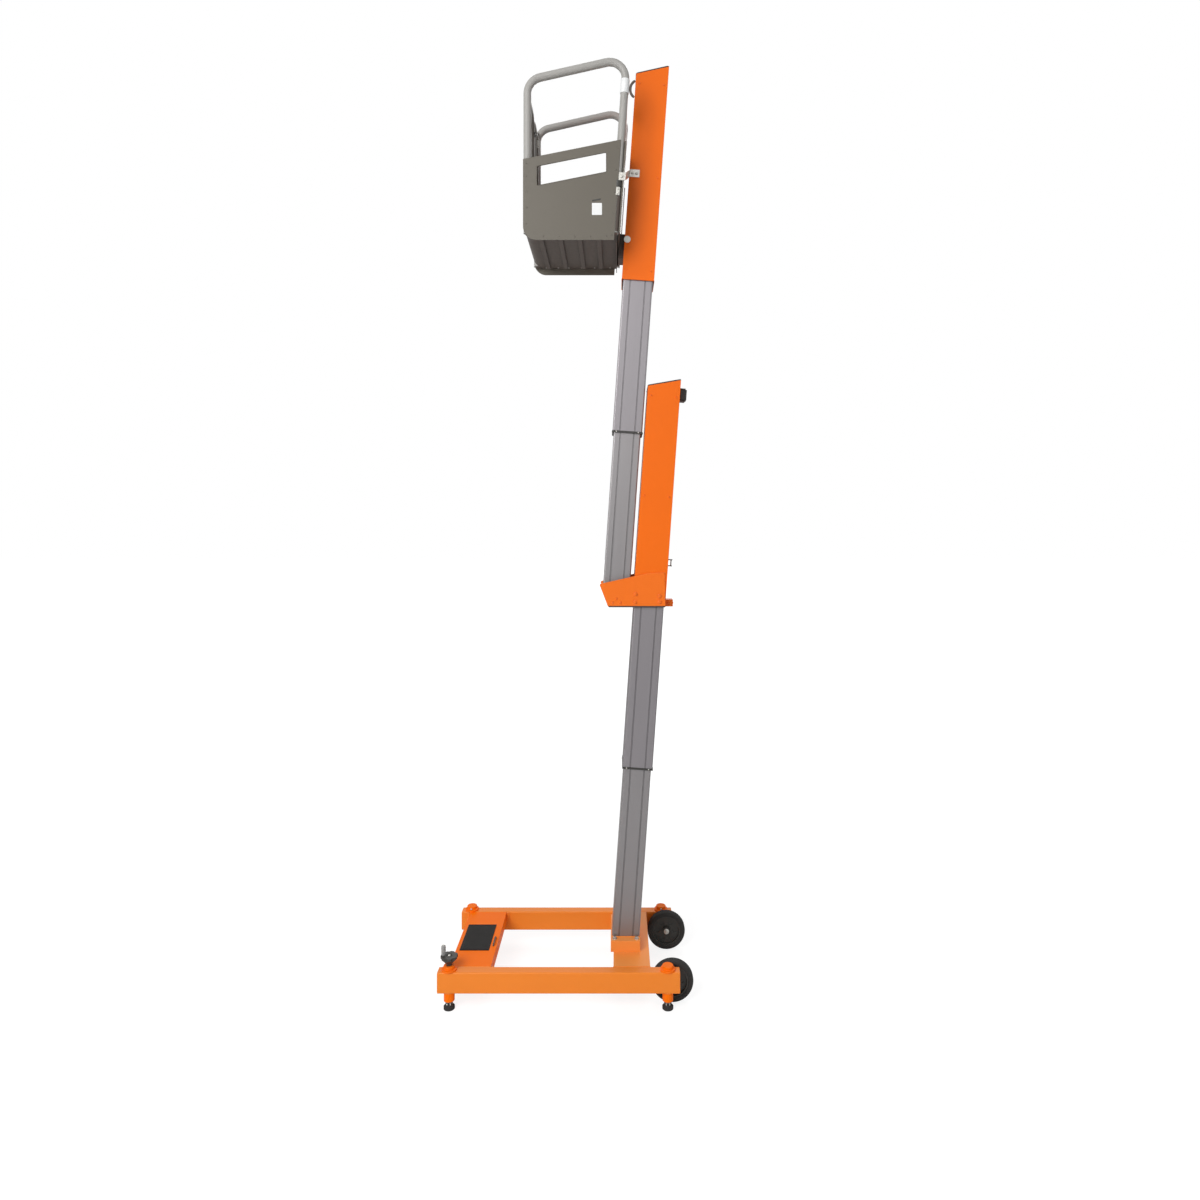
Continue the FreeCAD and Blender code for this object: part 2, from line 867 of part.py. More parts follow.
def leaning_tube(label, line, across, deep, wall, bottom, front_top, rear_top):
    """A rectangular tube in the mast's frame, whose top may slope up to the rear."""
    body = new_body(label)
    sketch = sketch_on(body, "XZ_Plane")
    low = "%s - (%s) / 2" % (line, across)
    high = "%s + (%s) / 2" % (line, across)
    polygon(sketch, [(low, bottom), (high, bottom), (high, rear_top), (low, front_top)])
    pad(body, sketch, deep, symmetric=True)
    inner = sketch_on(body, "XY_Plane")
    rectangle(
        inner,
        ("%s + (%s)" % (low, wall), "%s - (%s)" % (high, wall)),
        ("-(%s) / 2 + (%s)" % (deep, wall), "(%s) / 2 - (%s)" % (deep, wall)),
    )
    pocket(body, inner, back=True)
    lean(body)
    return body


def soften(body, deep, radius):
    """Round the four long corners of a leaning tube."""
    half = number(deep) / 2
    round_edges(
        body,
        radius,
        lambda edge: runs_along(edge, UPRIGHT) and abs(abs(edge.CenterOfMass.y) - half) < 0.1,
    )


def groove(body, line, across, deep):
    """Two grooves down each of the four sides, at a quarter and three quarters of its width."""
    sketch = sketch_on(body, "XY_Plane")
    width = ("- groove_width / 2", "+ groove_width / 2")
    for quarter in (-1, 1):
        along = "%s + %d * (%s) / 4 " % (line, quarter, across)
        aside = "%d * (%s) / 4 " % (quarter, deep)
        for sign in (-1, 1):
            near = ("(%s) / 2 - groove_depth", "(%s) / 2 + edge_break")
            y = tuple("%d * (%s)" % (sign, end % deep) for end in near)
            x = tuple("%s + %d * (%s)" % (line, sign, end % across) for end in near)
            rectangle(sketch, (along + width[0], along + width[1]), y)
            rectangle(sketch, x, (aside + width[0], aside + width[1]))
    pocket(body, sketch, back=True)


def column(label, line, deep, bottom, top):
    body = leaning_tube(label, line, "column_across", deep, "column_wall", bottom, top, top)
    soften(body, deep, "column_round")
    groove(body, line, "column_across", deep)
    return body


def sleeve(label, line):
    deep, start, top = [label + end for end in ("_deep", "_start", "_top")]
    body = leaning_tube(label, line, "sleeve_across", deep, "sleeve_wall", start, top, top)
    soften(body, deep, "column_round")
    groove(body, line, "sleeve_across", deep)
    keep(body)
    ring = leaning_tube(
        label + "_collar",
        line,
        "sleeve_across + 2 * collar_lip",
        deep + " + 2 * collar_lip",
        "(sleeve_across + 2 * collar_lip - column_across) / 2 - collar_gap",
        start + " - collar_ring_height",
        start,
        start,
    )
    keep(ring)


def wear_pads(section, line, across, gap):
    """A ring round the top of a section that guides the next section out over it."""
    high = section + "_top - pad_drop"
    ring = leaning_tube(
        section + "_pads",
        line,
        "%s + 2 * (%s - seat)" % (across, gap),
        "%s_deep + 2 * (%s - seat)" % (section, gap),
        "%s - seat" % gap,
        high + " - pad_length",
        high,
        high,
    )
    keep(ring)


def cover(label, line):
    """A sheet cover, open below, with a thin cap on the top that slopes up to the rear."""
    deep, start, top, rise = [label + end for end in ("_deep", "_start", "_top", "_rise")]
    rear_top = "%s + %s" % (top, rise)
    keep(leaning_tube(label, line, "cover_across", deep, "cover_wall", start, top, rear_top))
    cap = new_body(label + "_cap")
    sketch = sketch_on(cap, "XZ_Plane")
    low = "%s - cover_across / 2" % line
    high = "%s + cover_across / 2" % line
    polygon(
        sketch,
        [
            (low, top),
            (high, "%s + %s" % (top, rise)),
            (high, "%s + %s + cap_thick" % (top, rise)),
            (low, "%s + cap_thick" % top),
        ],
    )
    pad(cap, sketch, deep, symmetric=True)
    lean(cap)
    keep(cap)


def mast_block(label, x, half_width, z):
    """A block in the mast's frame, centred on the middle plane."""
    body = new_body(label)
    pad(body, rectangle(sketch_on(body, "XZ_Plane"), x, z), "2 * " + half_width, symmetric=True)
    lean(body)
    return body


def lower_column():
    tube = column("lower_column_tube", "0", "lower_column_deep", "-overcut", "lower_column_top")
    floor = block(
        "lower_column_trim",
        ("mast_foot - column_across", "mast_foot + column_across"),
        ("-lower_column_deep", "lower_column_deep"),
        ("rail_top - 3 * overcut", "rail_top"),
    )
    keep(cut("lower_column", tube, floor))


def upper_column():
    """The second column, cut off level over the cradle and slanting behind its lip."""
    start = "carriage_level - rail_top - 4 * overcut"
    tube = column("upper_column_tube", "upper_line", "upper_column_deep", start, "upper_column_top")
    trim = new_body("upper_column_trim")
    low = "carriage_level - 8 * overcut"
    front = "carriage_front_lip - 4 * overcut"
    floor = "carriage_level + cradle_thick + seat"
    lip = "carriage_front_lip + cradle_thick * 1.2"
    polygon(
        sketch_on(trim, "XZ_Plane"),
        [
            (front, low),
            ("carriage_rear", low),
            ("carriage_rear", floor),
            ("carriage_front_foot + cradle_thick", floor),
            (lip, "carriage_lip_level + seat"),
            (front, "carriage_lip_level + seat"),
        ],
    )
    pad(trim, trim.Group[-1], "2 * upper_column_deep", symmetric=True)
    keep(cut("upper_column", tube, trim))


def carriage_plate(name, sign):
    body = new_body("carriage_plate_" + name)
    sketch = sketch_on(body, "XZ_Plane", "%d * plate_side" % -sign)
    polygon(
        sketch,
        [
            ("carriage_front_foot", "carriage_level"),
            ("carriage_rear", "carriage_level"),
            ("carriage_rear - carriage_rear_draft", "carriage_rear_level"),
            ("carriage_mid", "carriage_mid_level"),
            ("carriage_front_lip", "carriage_lip_level"),
        ],
    )
    pad(body, sketch, "carriage_plate_thick", back=sign > 0)
    return keep(body)


def carriage():
    for name, sign in SIDES:
        carriage_plate(name, sign)
    cradle = new_body("carriage_cradle")
    polygon(
        sketch_on(cradle, "XZ_Plane"),
        [
            ("carriage_front_foot", "carriage_level"),
            ("cradle_rear", "carriage_level"),
            ("cradle_rear", "carriage_level + cradle_thick"),
            ("carriage_front_foot + cradle_thick * 0.7", "carriage_level + cradle_thick"),
            ("cradle_lip_front + cradle_thick", "cradle_lip_level"),
            ("cradle_lip_front", "cradle_lip_level"),
        ],
    )
    pad(cradle, cradle.Group[-1], "2 * plate_side", symmetric=True)
    keep(cradle)
    clamps = []
    for name, sign in SIDES:
        near = "%d * upper_column_deep / 2" % sign
        far = "%d * plate_side" % sign
        y = (near, far) if sign > 0 else (far, near)
        clamps.append(
            block(
                "clamp_" + name,
                ("carriage_front_foot + cradle_thick", "carriage_front_foot + clamp_length"),
                y,
                (
                    "carriage_level + cradle_thick",
                    "carriage_level + cradle_thick + clamp_height",
                ),
            )
        )
    keep(group("column_clamps", clamps))
    keep(
        mast_block(
            "column_saddle",
            ("upper_line + column_across / 2 + seat", "-cover_across / 2 - seat"),
            "(upper_column_deep / 2 - column_round)",
            ("lower_cover_start", "lower_cover_start + saddle_height"),
        )
    )
    y = ("-tail_half_width", "tail_half_width")
    z = ("tail_level", "tail_level + tail_height")
    end = "tail_front + tail_length"
    keep(block("carriage_tail", ("tail_front", end), y, z))
    keep(block("carriage_tail_cap", (end, end + " + tail_cap"), y, z))


def cover_brackets():
    """Two small brackets, folded to a C that opens to the rear, on the back of the lower cover."""
    brackets = []
    face = "cover_across / 2"
    for label in ("top_bracket", "low_bracket"):
        body = new_body(label)
        start = label + "_start"
        top = "%s + %s_height" % (start, label)
        end = "%s + %s_reach" % (face, label)
        polygon(
            sketch_on(body, "XZ_Plane"),
            [
                (face, start),
                (end, start),
                (end, start + " + bracket_thick"),
                (face + " + bracket_thick", start + " + bracket_thick"),
                (face + " + bracket_thick", top + " - bracket_thick"),
                (end, top + " - bracket_thick"),
                (end, top),
                (face, top),
            ],
        )
        pad(body, body.Group[-1], "2 * %s_half_width" % label, symmetric=True)
        lean(body)
        brackets.append(body)
    keep(group("cover_brackets", brackets))


# Basket


def basket_floor():
    """A folded tray: a toe board turned up in front, a rear flange turned down, and ribs below."""
    body = new_body("basket_floor")
    front = "basket_front"
    rear = "floor_rear"
    toe = "floor_top + toe_height"
    tray = sketch_on(body, "XZ_Plane")
    polygon(
        tray,
        [
            (front, "floor_under"),
            (rear + " - floor_sheet", "floor_under"),
            (rear + " - floor_sheet", "basket_level"),
            (rear, "basket_level"),
            (rear, "floor_top"),
            (front + " + floor_sheet", "floor_top"),
            (front + " + floor_sheet", toe),
            (front, toe),
        ],
    )
    pad(body, tray, "2 * leg_face", symmetric=True)
    for level, place, radius in (
        ("floor_under", front, "toe_round"),
        ("floor_top", front + " + floor_sheet", "toe_round - floor_sheet"),
    ):
        spot = (number(place), number(level))
        round_edges(
            body,
            radius,
            lambda edge: runs_along(edge, ACROSS)
            and math.dist((edge.CenterOfMass.x, edge.CenterOfMass.z), spot) < 0.1,
        )
    wings = sketch_on(body, "XY_Plane", "floor_under")
    x = (front + " + floor_inset", rear)
    rectangle(wings, x, ("-panel_side + seat", "-leg_face"))
    rectangle(wings, x, ("leg_face", "panel_side - seat"))
    pad(body, wings, "floor_sheet")
    rib = sketch_on(body, "XZ_Plane")
    first = front + " + rib_start"
    rectangle(rib, (first, first + " + rib_width"), ("floor_under - rib_depth", "floor_under"))
    rib_pad = pad(body, rib, "2 * leg_face", symmetric=True)
    pattern = body.newObject("PartDesign::LinearPattern", "basket_floor_ribs")
    pattern.Originals = [rib_pad]
    pattern.Direction = (rib, ["H_Axis"])
    bind(pattern, "Length", "rib_span")
    bind(pattern, "Occurrences", "rib_count")
    body.Tip = pattern
    doc.recompute()
    return keep(body)


def basket_side(name, sign):
    body = new_body("basket_side_" + name)
    sketch = sketch_on(body, "XZ_Plane", "%d * panel_side" % -sign)
    polygon(
        sketch,
        [
            ("basket_front", "basket_level"),
            ("panel_rear_foot", "basket_level"),
            ("panel_rear_top", "panel_rear_level"),
            ("basket_front", "panel_front_level"),
        ],
    )
    pad(body, sketch, "basket_sheet", back=sign > 0)
    hem = sketch_on(body, "XZ_Plane", "%d * panel_side" % -sign)
    ends = ("front_leg + tube_radius + hem_gap", "panel_rear_top - tube_radius - 2 * hem_gap")
    edge_line = ["panel_zero_level + (%s) * tan(panel_slope)" % end for end in ends]
    polygon(
        hem,
        [
            (ends[0], edge_line[0] + " - basket_sheet"),
            (ends[1], edge_line[1] + " - basket_sheet"),
            (ends[1], edge_line[1]),
            (ends[0], edge_line[0]),
        ],
    )
    pad(body, hem, "panel_hem", back=sign < 0)
    low = number("basket_level") + 1
    front = number("basket_front") + 1
    round_edges(
        body,
        "panel_round",
        lambda edge: runs_along(edge, ACROSS)
        and edge.CenterOfMass.z < low
        and edge.CenterOfMass.x < front,
    )
    window = sketch_on(body, "XZ_Plane", "%d * panel_side" % -sign)
    rear = "window_front + window_length"
    polygon(
        window,
        [
            ("window_front", "window_front_level"),
            (rear, "window_front_level + window_rise"),
            (rear, "window_front_level + window_rise + window_height"),
            ("window_front", "window_front_level + window_height"),
        ],
    )
    pocket(body, window, symmetric=True)
    inside = (number("window_front") - 1, number(rear) + 1)
    floor = number("window_front_level") - 1
    round_edges(
        body,
        "window_round",
        lambda edge: runs_along(edge, ACROSS)
        and inside[0] < edge.CenterOfMass.x < inside[1]
        and floor < edge.CenterOfMass.z,
    )
    return keep(body)


def leg_x(level):
    """Where the basket's leaning rear leg stands at a height."""
    return number("leg_zero") + level * math.tan(math.radians(number("mast_rake")))


def basket_rail(name, sign):
    """One tube: up the front corner, along the sloping hand rail and down the leaning rear leg."""
    y = sign * number("tube_side")
    floor = number("floor_top")
    front = number("front_leg")
    level = number("rail_front_level")
    slope = math.tan(math.radians(number("basket_rail_slope")))
    rake = math.tan(math.radians(number("mast_rake")))
    rear = (number("leg_zero") + rake * (level - slope * front)) / (1 - rake * slope)
    top = level + slope * (rear - front)
    points = [
        Vector(front, y, floor),
        Vector(front, y, level),
        Vector(rear, y, top),
        Vector(leg_x(floor), y, floor),
    ]
    bends = (number("rail_bend_front"), number("rail_bend_rear"))
    radius = number("tube_radius")
    shape = tube_shape(points, bends, radius)
    reach = number("overall_length")
    depth = number("overcut")
    corner = Vector(-reach, y - 2 * radius, floor - depth)
    trim = Part.makeBox(2 * reach, 4 * radius, depth, corner)
    shape_node("basket_rail_" + name, shape.cut(trim))


def basket_back():
    """The basket's leaning rear sheet, with flanges turned towards the mast, and its top bar."""
    body = new_body("basket_back")
    half = "(tube_side + tube_radius)"
    start = "(floor_top - rail_top) / cos(mast_rake) + leg_line * tan(mast_rake) + back_lift"
    sheet = sketch_on(body, "XY_Plane", start)
    polygon(
        sheet,
        [
            ("back_face", "-" + half),
            ("back_face + back_flange", "-" + half),
            ("back_face + back_flange", "-%s + back_sheet" % half),
            ("back_face + back_sheet", "-%s + back_sheet" % half),
            ("back_face + back_sheet", half + " - back_sheet"),
            ("back_face + back_flange", half + " - back_sheet"),
            ("back_face + back_flange", half),
            ("back_face", half),
        ],
    )
    pad(body, sheet, "back_height")
    lean(body)
    keep(body)
    level = number("back_bar_level")
    y = number("tube_side")
    start_point = Vector(leg_x(level), -y, level)
    bar = Part.makeCylinder(number("back_bar_radius"), 2 * y, start_point, ACROSS)
    way = Vector(math.tan(math.radians(number("mast_rake"))), 0, 1)
    for sign in (-1, 1):
        foot_point = Vector(leg_x(0), sign * y, 0)
        leg = Part.makeCylinder(number("tube_radius + seat"), 2 * level, foot_point, way)
        bar = bar.cut(leg)
    shape_node("basket_back_bar", bar)


def hooks():
    """A C of round bar on the back of each rear leg."""
    solids = []
    radius = number("hook_radius")
    back = number("tube_radius + seat") + radius
    low = number("hook_level")
    for name, sign in SIDES:
        points = [
            Vector(leg_x(low + rise) + back + out, sign * number("tube_side"), low + rise)
            for rise, out in (
                (0, number("hook_reach")),
                (number("hook_lip"), 0),
                (number("hook_height - hook_lip"), 0),
                (number("hook_height"), number("hook_reach")),
            )
        ]
        bend = number("hook_bend")
        solids.append(tube_shape(points, (bend, bend), radius))
    shape_node("basket_hook", Part.makeCompound(solids))


def hangers():
    keep(
        mast_block(
            "basket_hanger",
            ("back_face + back_sheet", "hanger_face"),
            "hanger_half_width",
            ("hanger_start", "hanger_start + hanger_height"),
        )
    )
    straps = []
    bolts = []
    for name, sign in SIDES:
        body = new_body("strap_" + name)
        sketch = sketch_on(body, "XY_Plane", "strap_start")
        bend = "leg_line + strap_bend"
        end = "hanger_face + strap_reach"
        outline = [
            ("leg_line + edge_break", "panel_side"),
            (bend, "panel_side"),
            ("hanger_face", "strap_side"),
            (end, "strap_side"),
            (end, "strap_side + strap_thick"),
            ("hanger_face + strap_thick", "strap_side + strap_thick"),
            (bend + " + strap_thick", "panel_side + strap_thick"),
            ("leg_line + edge_break", "panel_side + strap_thick"),
        ]
        polygon(sketch, [(x, "%d * (%s)" % (sign, y)) for x, y in outline])
        pad(body, sketch, "strap_height")
        lean(body)
        straps.append(body)
        bolt = new_body("hanger_bolt_" + name)
        head = sketch_on(bolt, "XZ_Plane", "%d * strap_side" % -sign)
        circle(head, "hanger_face + hanger_bolt_inset", "hanger_bolt_start", "hanger_bolt_radius")
        pad(bolt, head, "hanger_bolt_thick", back=sign > 0)
        lean(bolt)
        bolts.append(bolt)
    keep(group("basket_straps", straps))
    keep(group("hanger_bolts", bolts))


def winding_gear():
    box = mast_block(
        "winding_box",
        ("back_face - winder_depth", "back_face"),
        "winder_half_width",
        ("winder_start", "winder_start + winder_height"),
    )
    front = number("back_face - winder_depth") + 1
    round_edges(box, "winder_round", lambda edge: edge.CenterOfMass.x < front)
    keep(box)
    body = new_body("winding_crank")
    boss = sketch_on(body, "YZ_Plane", "crank_face")
    circle(boss, "0", "crank_level", "crank_boss_radius")
    pad(body, boss, "crank_boss_depth - seat")
    arm = sketch_on(body, "YZ_Plane", "crank_face")
    low = "crank_level - crank_arm"
    rectangle(arm, ("-crank_arm_width / 2", "crank_arm_width / 2"), (low, "crank_level"))
    pad(body, arm, "crank_thick", back=True)
    grip = sketch_on(body, "YZ_Plane", "crank_face - crank_thick")
    circle(grip, "0", low + " + crank_grip_radius", "crank_grip_radius")
    pad(body, grip, "crank_grip_length", back=True)
    lean(body)
    keep(body)


# Gates


def gate_lugs(name, sign):
    """Two bent lugs for a front leg, each with the pin that a gate's hinge tube turns on."""
    axis = "%d * gate_axis_side" % sign
    leg_face = "%d * leg_face" % sign
    strap_face = "%d * (leg_face - gate_strap_thick)" % sign
    solids = []
    for end, level, turn in (
        ("bottom", "gate_bottom_level - gate_lug_gap - gate_lug_thick", 1),
        ("top", "gate_top_level + gate_lug_gap", -1),
    ):
        body = new_body("lug_%s_%s" % (end, name))
        plate = sketch_on(body, "XY_Plane", level)
        x = ("gate_line - gate_lug_radius", "gate_line + gate_lug_radius")
        rectangle(plate, x, (leg_face, axis))
        pad(body, plate, "gate_lug_thick")
        eye = sketch_on(body, "XY_Plane", level)
        circle(eye, "gate_line", axis, "gate_lug_radius")
        pad(body, eye, "gate_lug_thick")
        strap = sketch_on(body, "XY_Plane", level + (" + gate_lug_thick" if turn < 0 else ""))
        rectangle(strap, x, (leg_face, strap_face))
        pad(body, strap, "gate_strap_length", back=turn < 0)
        stub = sketch_on(body, "XY_Plane", level + (" + gate_lug_thick" if turn > 0 else ""))
        circle(stub, "gate_line", axis, "gate_pin_radius")
        pad(body, stub, "gate_pin_length", back=turn < 0)
        solids.append(body)
    return solids


def gate(name, sign):
    """A swinging leaf: hinge tube, bent frame, upright bars and a full sheet, welded together."""
    axis = sign * number("gate_axis_side")
    x = number("gate_line")
    radius = number("gate_frame_radius")
    low = number("gate_bottom_level")
    height = number("gate_height")
    free = sign * number("gate_middle_gap + gate_frame_radius")
    bore = number("gate_pin_radius + gate_bore_gap")
    depth = number("gate_pin_length + gate_pin_play")
    hinge = Part.makeCylinder(number("gate_tube_radius"), height, Vector(x, axis, low))
    inset = number("gate_inset")
    points = [
        Vector(x, axis, low + height - inset),
        Vector(x, free, low + height - inset),
        Vector(x, free, low + inset),
        Vector(x, axis, low + inset),
    ]
    bend = number("gate_bend")
    solids = [tube_shape(points, (bend, bend), radius)]
    bars = int(number("gate_bars"))
    clear = height - 2 * inset
    for count in range(1, bars + 1):
        place = axis + (free - axis) * count / (bars + 1)
        base = Vector(x, place, low + inset)
        solids.append(Part.makeCylinder(number("gate_bar_radius"), clear, base))
    edge_line = bent_path(points, (bend, bend)).Edges
    closing = Part.LineSegment(points[-1], points[0]).toShape()
    sheet = Part.Face(Part.Wire(edge_line + [closing]))
    thick = number("gate_sheet")
    sheet.translate(Vector(-thick / 2, 0, 0))
    solids.append(sheet.extrude(Vector(thick, 0, 0)))
    shape = hinge.multiFuse(solids)
    for level in (low, low + height - depth):
        shape = shape.cut(Part.makeCylinder(bore, depth, Vector(x, axis, level)))
    shape_node("gate_" + name, shape.removeSplitter())


for name, sign in SIDES:
    rail(name, sign)
feet()
jack_handwheel()
channel("front_deck", "deck_front", "deck_rear", "deck_skirt", "deck_sheet")
tread()
deck_gussets()
deck_catch()
channel("rear_beam", "beam_front", "beam_rear", "beam_skirt", "beam_sheet")
mast_shoe()
for name, sign in SIDES:
    wheel(name, sign)
for stage, line in (("lower", "0"), ("upper", "upper_line")):
    if stage == "lower":
        lower_column()
    else:
        carriage()
        cover_brackets()
        upper_column()
    wear_pads(stage + "_column", line, "column_across", "sleeve_gap")
    sleeve(stage + "_sleeve", line)
    wear_pads(stage + "_sleeve", line, "sleeve_across", "cover_gap")
    cover(stage + "_cover", line)
basket_floor()
for name, sign in SIDES:
    basket_side(name, sign)
    basket_rail(name, sign)
basket_back()
hooks()
hangers()
winding_gear()
keep(group("gate_lugs", gate_lugs(*SIDES[0]) + gate_lugs(*SIDES[1])))
for name, sign in SIDES:
    gate(name, sign)

doc.recompute()
for item in doc.Objects:
    if "Invalid" in item.State or "Error" in item.State:
        raise RuntimeError("%s did not build" % item.Label)
for item in nodes:
    if item.Shape.isNull() or not item.Shape.isValid():
        raise RuntimeError("%s has no valid shape" % item.Label)
os.makedirs("parts", exist_ok=True)
for item in nodes:
    item.Shape.exportStep("parts/%s.step" % item.Label)
    box = item.Shape.BoundBox
    print(
        "%-26s %8.1f %8.1f %8.1f %8.1f %8.1f %8.1f"
        % (item.Label, box.XMin, box.XMax, box.YMin, box.YMax, box.ZMin, box.ZMax)
    )
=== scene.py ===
"""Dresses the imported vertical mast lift: paint, aluminium, rubber, fasteners and welds.

Everything is in metres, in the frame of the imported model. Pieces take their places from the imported
nodes, and what belongs to the leaning mast is measured across, beside and along that mast.
"""

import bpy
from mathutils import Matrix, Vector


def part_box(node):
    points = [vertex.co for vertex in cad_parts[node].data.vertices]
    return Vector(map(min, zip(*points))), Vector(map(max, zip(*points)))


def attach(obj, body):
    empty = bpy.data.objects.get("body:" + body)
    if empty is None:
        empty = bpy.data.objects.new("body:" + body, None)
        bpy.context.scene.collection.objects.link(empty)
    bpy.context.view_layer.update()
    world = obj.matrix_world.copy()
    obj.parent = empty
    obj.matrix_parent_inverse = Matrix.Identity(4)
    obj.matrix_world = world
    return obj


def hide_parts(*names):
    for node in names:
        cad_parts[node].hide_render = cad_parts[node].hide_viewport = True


bl_info = {
    "name": "Mast Lift Finish",
    "version": (1, 0, 0),
    "blender": (4, 5, 0),
    "location": "3D Viewport > Sidebar > Mast Lift",
    "description": "Dresses the packed vertical mast lift and sets up its studio",
    "category": "Object",
}

from fnmatch import fnmatchcase
from math import cos, radians, sin, tan, tau

import bmesh
import bpy
from mathutils import Vector

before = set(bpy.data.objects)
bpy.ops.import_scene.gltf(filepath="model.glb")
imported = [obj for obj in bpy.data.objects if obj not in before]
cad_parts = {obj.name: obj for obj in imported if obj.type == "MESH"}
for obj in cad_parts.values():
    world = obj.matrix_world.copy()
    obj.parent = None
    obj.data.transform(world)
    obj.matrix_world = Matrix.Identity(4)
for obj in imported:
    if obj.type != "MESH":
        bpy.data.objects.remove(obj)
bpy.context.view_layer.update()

UP = Vector((0, 0, 1))
REAR = Vector((1, 0, 0))
SIDEWAYS = Vector((0, 1, 0))
SIDES = (("left", -1), ("right", 1))

# The mast leans back by the rake, from where its front column meets the top of the rails
RAKE = radians(4)
ALONG = Vector((sin(RAKE), 0, cos(RAKE)))
ACROSS = Vector((cos(RAKE), 0, -sin(RAKE)))
RAIL_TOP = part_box("rail_left")[1].z
MAST_FOOT = Vector((0.284 + RAIL_TOP * tan(RAKE), 0, RAIL_TOP))

# The screw feet, from the middle of the base
FOOT_LINES = (-0.590, 0.511)
FOOT_SIDE = 0.320

# The basket: its rear legs, its slanting sheets and its gates' hinge line
LEG_ZERO = -0.032
LEG_SIDE = 0.2597
ON_LEG = 0.0204
PANEL_SLOPE = tan(radians(11.3))
FLOOR_UNDERSIDE = 3.921
GATE_LINE = -0.203
GATE_HINGE = 0.222

# The slanting strap, which bends round the side of the upper cover
STRAP_SLOPE = tan(radians(29))
COVER_SIDE = 0.0985


def linear(code):
    """An sRGB hex colour as linear values."""
    values = [int(code[index : index + 2], 16) / 255 for index in (1, 3, 5)]
    return tuple(
        value / 12.92 if value <= 0.04045 else ((value + 0.055) / 1.055) ** 2.4 for value in values
    )


def per_mm(size):
    """The texture scale whose features are this many millimetres across."""
    return 1000 / size


# Sizes and colours that a user would change


def colour(name, code, words):
    return bpy.props.FloatVectorProperty(
        name=name, description=words, default=linear(code), size=3, min=0, max=1, subtype="COLOR"
    )


def length(name, size, words):
    return bpy.props.FloatProperty(
        name=name, description=words, default=size, min=0, subtype="DISTANCE", unit="LENGTH"
    )


class MASTLIFT_PG_colours(bpy.types.PropertyGroup):
    cover: colour("Cover paint", "#EC6A0C", "Powder coat on the two mast covers")
    carriage: colour("Carriage paint", "#EC701C", "Powder coat on the carriage plates")
    rail: colour("Frame paint", "#F0862A", "Powder coat on the two rails of the base")
    beam: colour("Beam paint", "#F49648", "Powder coat on the rear beam and the mast's shoe")
    deck: colour("Deck paint", "#FF7406", "Powder coat on the step deck and the foot collars")
    column: colour("Column", "#8F8C8D", "Natural anodising on the fixed columns")
    sleeve: colour("Sleeve", "#8D898C", "Natural anodising on the sliding sleeves")
    panel: colour("Basket panel", "#676259", "Grey powder coat on the basket's sheets")
    tube: colour("Basket tube", "#A3A19D", "Lighter grey powder coat on the basket's tubes")
    under: colour("Basket floor", "#5A514B", "Dark coat on the basket's floor tray")
    black: colour("Black plastic", "#2B2A26", "Moulded knobs, caps and housings")
    rubber: colour("Rubber", "#302F2E", "Tyres and feet")
    tread: colour("Tread", "#232120", "The ribbed pad on the step")
    grip: colour("Grey plastic", "#949391", "The handwheel's grip")
    zinc: colour("Zinc", "#BDBBB5", "Bright zinc plating on the fasteners")
    label: colour("Blank label", "#E6E7E7", "Vinyl labels, left blank, and the hook's sleeve")
    floor: colour("Studio floor", "#F4F4F4", "The pale floor of the studio")


class MASTLIFT_PG_sizes(bpy.types.PropertyGroup):
    bolt: length("Large bolt", 0.010, "Shank diameter of the carriage and shoe bolts")
    screw: length("Small screw", 0.006, "Shank diameter of the cover and collar screws")
    weld: length("Weld bead", 0.0028, "Radius of the weld beads")
    ripple: length("Weld ripple", 0.0035, "Spacing of the ripples along a weld bead")
    hem: length("Window hem", 0.0030, "Radius of the rolled hem round the panel windows")


def settings():
    return bpy.context.scene.mastlift_colours, bpy.context.scene.mastlift_sizes


# Materials


def add(tree, kind, values=None, links=None):
    """Add a shader node, set its values and feed its inputs."""
    item = tree.nodes.new("ShaderNode" + kind)
    for key, value in (values or {}).items():
        if isinstance(key, int) or key in item.inputs:
            item.inputs[key].default_value = value
        else:
            setattr(item, key, value)
    for key, source in (links or {}).items():
        tree.links.new(source, item.inputs[key])
    return item


def blank_surface(name):
    """The emptied tree of a new material, and its object coordinates."""
    surface = bpy.data.materials.new(name)
    surface.use_nodes = True
    tree = surface.node_tree
    tree.nodes.clear()
    return tree, add(tree, "TexCoord").outputs["Object"]


def shade(value, share):
    return tuple(min(1, part * share) for part in value) + (1,)


def mottle(tree, place, value, size, low, high):
    """The colour, drifting between a darker and a lighter share of itself over the given size."""
    drift = add(tree, "TexNoise", {"Scale": per_mm(size), "Detail": 3.0}, {"Vector": place})
    tones = {"data_type": "RGBA", 6: shade(value, low), 7: shade(value, high)}
    return add(tree, "Mix", tones, {0: drift.outputs["Fac"]}).outputs[2]


def coat(tree, optics, base, rough, ripple, edge):
    """End a surface: its edges are broken by a radius, and a fine ripple lies over its faces.

    The roughness follows a pattern between two ends. The edge is its radius, with the strength
    and the depth of the ripple.
    """
    pattern, smooth, dull = rough
    radius, strength, depth = edge
    bevel = add(tree, "Bevel", {"samples": 6, "Radius": radius})
    normal = add(
        tree,
        "Bump",
        {"Strength": strength, "Distance": depth},
        {"Height": ripple, "Normal": bevel.outputs["Normal"]},
    )
    satin = add(tree, "MapRange", {"To Min": smooth, "To Max": dull}, {"Value": pattern})
    shader = add(
        tree,
        "BsdfPrincipled",
        optics,
        {
            "Base Color": base,
            "Roughness": satin.outputs["Result"],
            "Normal": normal.outputs["Normal"],
        },
    )
    add(tree, "OutputMaterial", links={"Surface": shader.outputs["BSDF"]})


